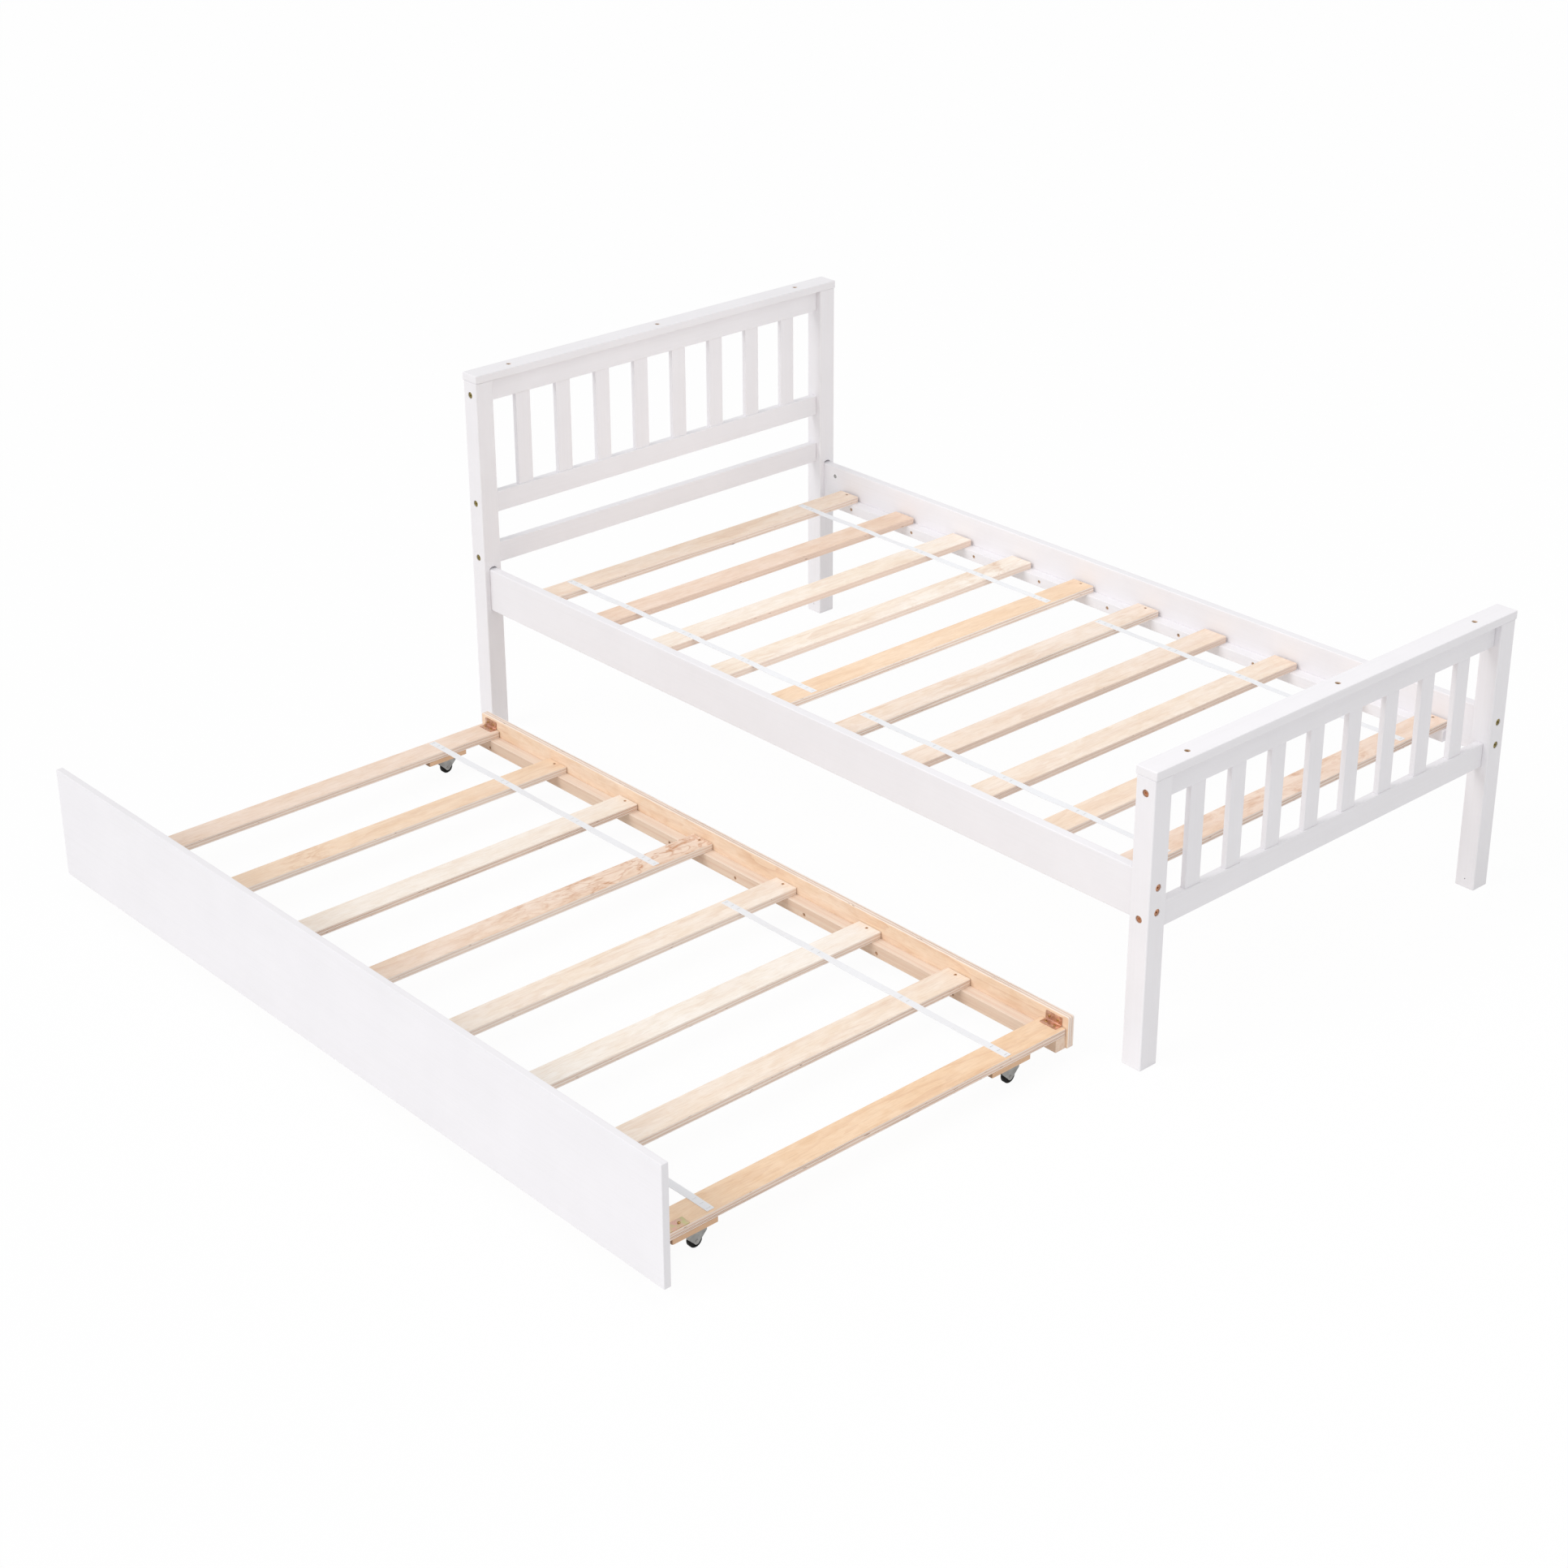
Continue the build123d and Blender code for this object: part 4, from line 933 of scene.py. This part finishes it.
class BED_OT_brackets(bpy.types.Operator):
    """Fold the four corner brackets of the trundle"""
    bl_idname = "bed.brackets"
    bl_label = "Corner brackets"

    def execute(self, context):
        colours = context.scene.bed_colours
        bend = context.scene.bed_sizes.bend
        pink = plated_metal("copper_pink_bracket", colours.bracket, colours.bracket_dark, (0.3, 0.5), 9 * MM)
        yellow = plated_metal("yellow_zinc_brace", colours.brace, colours.brace_green, (0.3, 0.5), 16 * MM)
        kinds = {}
        for points in solids_of("corner_brackets"):
            sizes, place = self.measure(points)
            kinds.setdefault(sizes, []).append(place)
        for sizes, places in kinds.items():
            pieces = copies_joined(self.one_bracket(*sizes, bend), places)
            width, leaf = sizes[:2]
            if width > leaf:
                finish_piece(pieces, "folded_corner_brackets", pink, "trundle", "corner_brackets")
            else:
                finish_piece(pieces, "folded_corner_braces", yellow, "trundle", "corner_brackets")
        return {"FINISHED"}

    def measure(self, points):
        """A CAD bracket's width, leaf, height and metal, and the place of its corner.

        The metal is the height of the flat leaf's upper face, the lowest points above its underside."""
        low, high = corners_of(points)
        middle = (low + high) / 2
        at_back = any(point.z > high.z - MM and point.y > middle.y for point in points)
        corner_y = high.y if at_back else low.y
        turn = Matrix.Identity(4) if at_back else Matrix.Rotation(math.pi, 4, "Z")
        place = Matrix.Translation((middle.x, corner_y, low.z)) @ turn
        underside_zone = 0.1 * MM
        heights = [point.z - low.z for point in points]
        metal = min(height for height in heights if height > underside_zone)
        sizes = tuple(round(length, 4) for length in (*(high - low), metal))
        return sizes, place

    def one_bracket(self, width, leaf, height, metal, bend):
        """A strip folded square along X, with rounded corners: one leaf flat, one leaf up at the back."""
        corner = 2 * MM
        rounding = 0.25 * MM
        bracket = new_piece(bpy.ops.mesh.primitive_plane_add, size=1.0)
        edit(bracket)
        bpy.ops.mesh.select_all(action="SELECT")
        bpy.ops.transform.resize(value=(width, leaf, 1.0), center_override=(0, 0, 0))
        bpy.ops.transform.translate(value=(0, -leaf / 2, 0))
        pick(lambda middle, normal: middle.y > -TOLERANCE, "EDGE")
        extrude((0, 0, height))
        pick(lambda middle, normal: abs(middle.y) < TOLERANCE and abs(middle.z) < TOLERANCE, "EDGE")
        bpy.ops.mesh.bevel(offset=bend, segments=5, affect="EDGES")
        pick(lambda middle, normal: middle.z > height - TOLERANCE or middle.y < TOLERANCE - leaf, "VERT")
        bpy.ops.mesh.bevel(offset=corner, segments=4, affect="VERTICES")
        turn_faces_out()
        bpy.ops.object.mode_set(mode="OBJECT")
        apply_modifier(bracket, "SOLIDIFY", thickness=metal, offset=self.inner_side(bracket))
        soften(bracket, rounding)
        return bracket

    def inner_side(self, bracket):
        """1 if the flat leaf's face looks up, into the corner, and -1 if it looks down."""
        flat = min(bracket.data.polygons, key=lambda face: face.center.z)
        return 1.0 if flat.normal.z > 0 else -1.0


# Sheet metal of the casters, and the rounding of its edges
CASTER_METAL = 1.5 * MM
CASTER_ROUNDING = 0.35 * MM


class BED_OT_casters(bpy.types.Operator):
    """Make the four casters: plate, pressed fork, riveted axle and moulded wheel"""
    bl_idname = "bed.casters"
    bl_label = "Casters"

    def execute(self, context):
        colours = context.scene.bed_colours
        zinc = colours.zinc
        # Painted shade: the forks and rivets take the zinc at 0.8, darker than the plating, for the dim
        # surroundings that they reflect
        steel = plated_metal("zinc_fork_painted_shade", zinc * 0.8, zinc * 0.62, (0.35, 0.6), 12 * MM)
        # Painted highlight: the plates take the brighter zinc, paler than the forks' zinc, as a lit edge
        bright = plated_metal("zinc_plate_painted_highlight", colours.bright_zinc_and_highlight, zinc, (0.3, 0.5), 12 * MM)
        plastic = moulded_plastic(colours)
        axles = [corners_of(points) for points in solids_of("caster_axles")]
        centres = [(low + high) / 2 for low, high in axles]
        at_axles = [Matrix.Translation(centre) for centre in centres]
        low, high = corners_of(solids_of("caster_forks")[0])
        spans = high - low
        top = high.z - centres[0].z
        plates = copies_joined(self.one_plate(spans, top), at_axles)
        finish_piece(plates, "caster_plates", bright, "trundle", "caster_forks")
        forks = copies_joined(self.one_fork(spans, top), at_axles)
        finish_piece(forks, "pressed_caster_forks", steel, "trundle", "caster_forks")
        low, high = axles[0]
        rivet_head = 0.4 * (high.z - low.z)
        rivets = copies_joined(self.one_rivet((high.x - low.x) / 2, rivet_head), at_axles)
        finish_piece(rivets, "caster_rivets", steel, "trundle", "caster_axles")
        for name in sorted(nodes):
            if name.startswith("caster_wheel_"):
                low, high = (Vector(corner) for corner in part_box(name))
                wheel = self.one_wheel((high.z - low.z) / 2, high.x - low.x, context.scene.bed_sizes.rim)
                wheel.data.transform(Matrix.Translation((low + high) / 2))
                finish_piece(wheel, name.replace("caster_wheel", "moulded_wheel"), plastic, name, name)
        return {"FINISHED"}

    def one_plate(self, spans, top):
        """The plate over the axle, with rounded corners and a softened rim."""
        corner = 4 * MM
        plate = new_piece(bpy.ops.mesh.primitive_cube_add, size=1.0, location=(0, 0, top - CASTER_METAL / 2),
                          scale=(spans.x, spans.y, CASTER_METAL))
        edit(plate)
        pick(lambda middle, normal: abs(normal.z) > SQUARELY, "EDGE")
        bpy.ops.mesh.bevel(offset=corner, segments=4, affect="EDGES")
        bpy.ops.object.mode_set(mode="OBJECT")
        soften(plate, CASTER_ROUNDING)
        return plate

    def one_fork(self, spans, top):
        """The two pressed cheeks about their axle: straight at the top, then tapering to a rounded nose."""
        nose = 6.5 * MM
        nose_drop = 2.5 * MM
        straight = 19.5 * MM
        inner = 6.3 * MM
        top_inset = 3 * MM
        half_top = spans.y / 2 - top_inset
        top_steps = 5
        # The shoulder's points: how far in from the straight flank, and how far above the taper's start
        shoulder = [(2.5 * MM, -1 * MM), (0.7 * MM, 0.6 * MM), (0.0, 3 * MM)]
        high = top - CASTER_METAL
        low = high - straight
        # The flank of a cheek, from the shoulder to the middle of the top
        path = [(half_top - inset, low + rise) for inset, rise in shoulder]
        path += [(half_top * step / top_steps, high) for step in range(top_steps, -1, -1)]
        cheeks = []
        for side in (-1, 1):
            cheek = new_piece(bpy.ops.mesh.primitive_circle_add, vertices=28, radius=nose, fill_type="NGON",
                              location=(side * inner, 0, 0), rotation=(0, math.pi / 2, 0))
            for way in (-1, 1):
                flank = [point for point in cheek.data.vertices
                         if point.co.z > -nose_drop and point.co.y * way > -TOLERANCE]
                flank.sort(key=lambda point: point.co.z)
                for point, (across, height) in zip(flank, path):
                    point.co.y = way * across
                    point.co.z = height
            edit(cheek)
            bpy.ops.mesh.select_all(action="SELECT")
            extrude((side * CASTER_METAL, 0, 0))
            turn_faces_out()
            bpy.ops.object.mode_set(mode="OBJECT")
            cheeks.append(cheek)
        fork = joined(cheeks)
        soften(fork, CASTER_ROUNDING)
        return fork

    def one_rivet(self, half_length, head):
        """A rivet along X with a domed head at each end."""
        shank = 2.5 * MM
        thick = 1.2 * MM
        crown_share = 0.6
        rivet = new_piece(bpy.ops.mesh.primitive_cylinder_add, vertices=24, radius=shank,
                          depth=2 * (half_length - thick), rotation=(0, math.pi / 2, 0))
        edit(rivet)
        for side in (-1, 1):
            pick(lambda middle, normal: normal.x * side > SQUARELY and middle.x * side > 0)
            extrude((0, 0, 0))
            bpy.ops.transform.resize(value=(1, head / shank, head / shank))
            extrude((side * thick / 2, 0, 0))
            extrude((side * thick / 2, 0, 0))
            bpy.ops.transform.resize(value=(1, crown_share, crown_share))
        bpy.ops.object.mode_set(mode="OBJECT")
        return rivet

    def one_wheel(self, radius, width, rim):
        """A wheel about its axle along X: rounded tread, sunk side faces and a raised hub."""
        rim_width = 2 * MM
        web_width = 3.6 * MM
        sink = 1.2 * MM
        bore_radius = 2.55 * MM
        wheel = new_piece(bpy.ops.mesh.primitive_cylinder_add, vertices=48, radius=radius, depth=width,
                          rotation=(0, math.pi / 2, 0))
        soften(wheel, rim, segments=5, sharper_than=40)
        edit(wheel)
        for side in (-1, 1):
            pick(lambda middle, normal: normal.x * side > SQUARELY and math.hypot(middle.y, middle.z) < MM)
            bpy.ops.mesh.inset(thickness=rim_width)
            extrude((-side * sink, 0, 0))
            bpy.ops.mesh.inset(thickness=web_width)
            extrude((side * sink, 0, 0))
        bpy.ops.object.mode_set(mode="OBJECT")
        bore = new_piece(bpy.ops.mesh.primitive_cylinder_add, vertices=32, radius=bore_radius,
                         depth=2 * width, rotation=(0, math.pi / 2, 0))
        cut_out(wheel, bore)
        return wheel


FLOOR_SIZE = 80.0
# How much of what the camera sees of the floor is plain white: the rest keeps the bed's shadow
FLOOR_WHITE = 0.95
# The even light from all round, where 1 is what the camera sees as white
SKY_LEVEL = 0.66

# The camera's place, turn and lens, fitted to the photograph
CAMERA_PLACE = (3.8727, -3.4486, 2.8084)
CAMERA_AZIMUTH = math.radians(48.512)
CAMERA_ELEVATION = math.radians(24.675)
CAMERA_ROLL = math.radians(-0.452)
CAMERA_SENSOR = 36.0
CAMERA_LENS = 65.72
CAMERA_SHIFT = (0.0165, -0.0582)
CAMERA_REACH = 200.0


class BED_OT_stage(bpy.types.Operator):
    """Lay the pale floor, set the soft studio light and place the camera at the photograph's view"""
    bl_idname = "bed.stage"
    bl_label = "Stage"

    def execute(self, context):
        scene = context.scene
        scene.view_settings.view_transform = "Standard"
        floor = new_piece(bpy.ops.mesh.primitive_plane_add, size=FLOOR_SIZE)
        floor.name = "floor"
        dress(floor, self.floor_material(scene.bed_colours))
        self.sky(scene)
        self.lamps()
        self.place_camera(scene)
        return {"FINISHED"}

    def lamps(self):
        """A broad sun from the front, a softbox over the footboard and a weak fill on the headboard."""
        start_piece()
        self.add_lamp("SUN", (0, 0, 0), (50, 0, -12), energy=1.15, angle=math.radians(32))
        self.add_lamp("AREA", (1.3, -0.1, 2.9), (0, 0, 0), shape="SQUARE", size=2.6, energy=16.0)
        head_fill = self.add_lamp("AREA", (0.15, 0.543, 0.58), (0, 90, 0), shape="RECTANGLE", size=0.4,
                                  size_y=0.9, spread=math.radians(90), energy=0.58)
        head_fill.visible_camera = False

    def add_lamp(self, kind, place, degrees, **settings):
        """Adds one lamp at a place, turned by three angles, with its settings."""
        rotation = [math.radians(angle) for angle in degrees]
        bpy.ops.object.light_add(type=kind, location=place, rotation=rotation)
        lamp = bpy.context.object
        for name, value in settings.items():
            setattr(lamp.data, name, value)
        return lamp

    def place_camera(self, scene):
        """Puts the camera where the photograph was taken, turned to the bed with a small roll."""
        bpy.ops.object.camera_add(location=CAMERA_PLACE)
        camera = bpy.context.object
        flat = math.cos(CAMERA_ELEVATION)
        back = Vector((math.sin(CAMERA_AZIMUTH) * flat, -math.cos(CAMERA_AZIMUTH) * flat,
                       math.sin(CAMERA_ELEVATION)))
        right = Vector((0, 0, 1)).cross(back).normalized()
        up = back.cross(right)
        turn = Matrix((right, up, back)).transposed() @ Matrix.Rotation(CAMERA_ROLL, 3, "Z")
        camera.rotation_euler = turn.to_euler()
        camera.data.sensor_width = CAMERA_SENSOR
        camera.data.lens = CAMERA_LENS
        camera.data.shift_x, camera.data.shift_y = CAMERA_SHIFT
        camera.data.clip_end = CAMERA_REACH
        scene.camera = camera

    def seen_directly(self, tree):
        """1 for what the camera sees directly, in a mirror or through glass, and 0 for light on the bed."""
        path = add_node(tree, "LightPath").outputs
        first = add_node(tree, "Math", {
            0: path["Is Camera Ray"], 1: path["Is Glossy Ray"]}, operation="MAXIMUM")
        return add_node(tree, "Math", {0: first, 1: path["Is Transmission Ray"]}, operation="MAXIMUM")

    def floor_material(self, colours):
        """Matt white floor that the camera sees as nearly white, with the bed's shadow kept faint."""
        material = bpy.data.materials.new("matt_white_floor")
        material.use_nodes = True
        tree = material.node_tree
        tree.nodes.clear()
        matt = add_node(tree, "BsdfDiffuse", {"Color": (*colours.floor, 1.0)})
        white = add_node(tree, "Emission", {"Color": (1, 1, 1, 1), "Strength": 1.0})
        share = add_node(tree, "Math", {0: self.seen_directly(tree), 1: FLOOR_WHITE}, operation="MULTIPLY")
        mixed = add_node(tree, "MixShader", {0: share, 1: matt, 2: white})
        add_node(tree, "OutputMaterial", {"Surface": mixed})
        return material

    def sky(self, scene):
        """Even soft light from all round, which the camera sees as white."""
        world = bpy.data.worlds.new("soft_studio")
        scene.world = world
        world.use_nodes = True
        tree = world.node_tree
        tree.nodes.clear()
        level = add_node(tree, "MapRange", {
            "Value": self.seen_directly(tree), "To Min": SKY_LEVEL, "To Max": 1.0})
        light = add_node(tree, "Background", {"Color": (1, 1, 1, 1), "Strength": level})
        add_node(tree, "OutputWorld", {"Surface": light})


class BED_PT_panel(bpy.types.Panel):
    """Lists the bed's pieces, colours and sizes in the sidebar"""
    bl_idname = "BED_PT_panel"
    bl_label = "Trundle Bed"
    bl_space_type = "VIEW_3D"
    bl_region_type = "UI"
    bl_category = "Trundle Bed"

    def draw(self, context):
        layout = self.layout
        for operator in OPERATORS:
            layout.operator(operator.bl_idname)
        for group in (context.scene.bed_colours, context.scene.bed_sizes):
            for name in group.__annotations__:
                layout.prop(group, name)


OPERATORS = (
    BED_OT_painted_boards, BED_OT_slats, BED_OT_trundle_boards, BED_OT_straps, BED_OT_staples,
    BED_OT_bolts, BED_OT_screws, BED_OT_brackets, BED_OT_casters, BED_OT_stage,
)
CLASSES = (BedColours, BedSizes, *OPERATORS, BED_PT_panel)


def register():
    """Registers the classes and hangs the bed's settings on the scene."""
    for item in CLASSES:
        bpy.utils.register_class(item)
    bpy.types.Scene.bed_colours = PointerProperty(type=BedColours)
    bpy.types.Scene.bed_sizes = PointerProperty(type=BedSizes)


def unregister():
    """Takes the settings off the scene and unregisters the classes."""
    del bpy.types.Scene.bed_sizes
    del bpy.types.Scene.bed_colours
    for item in reversed(CLASSES):
        bpy.utils.unregister_class(item)


def main():
    """Finishes every piece in order and sets the stage."""
    register()
    bpy.ops.bed.painted_boards()
    bpy.ops.bed.slats()
    bpy.ops.bed.trundle_boards()
    bpy.ops.bed.straps()
    bpy.ops.bed.staples()
    bpy.ops.bed.bolts()
    bpy.ops.bed.screws()
    bpy.ops.bed.brackets()
    bpy.ops.bed.casters()
    bpy.ops.bed.stage()


if __name__ == "__main__":
    main()
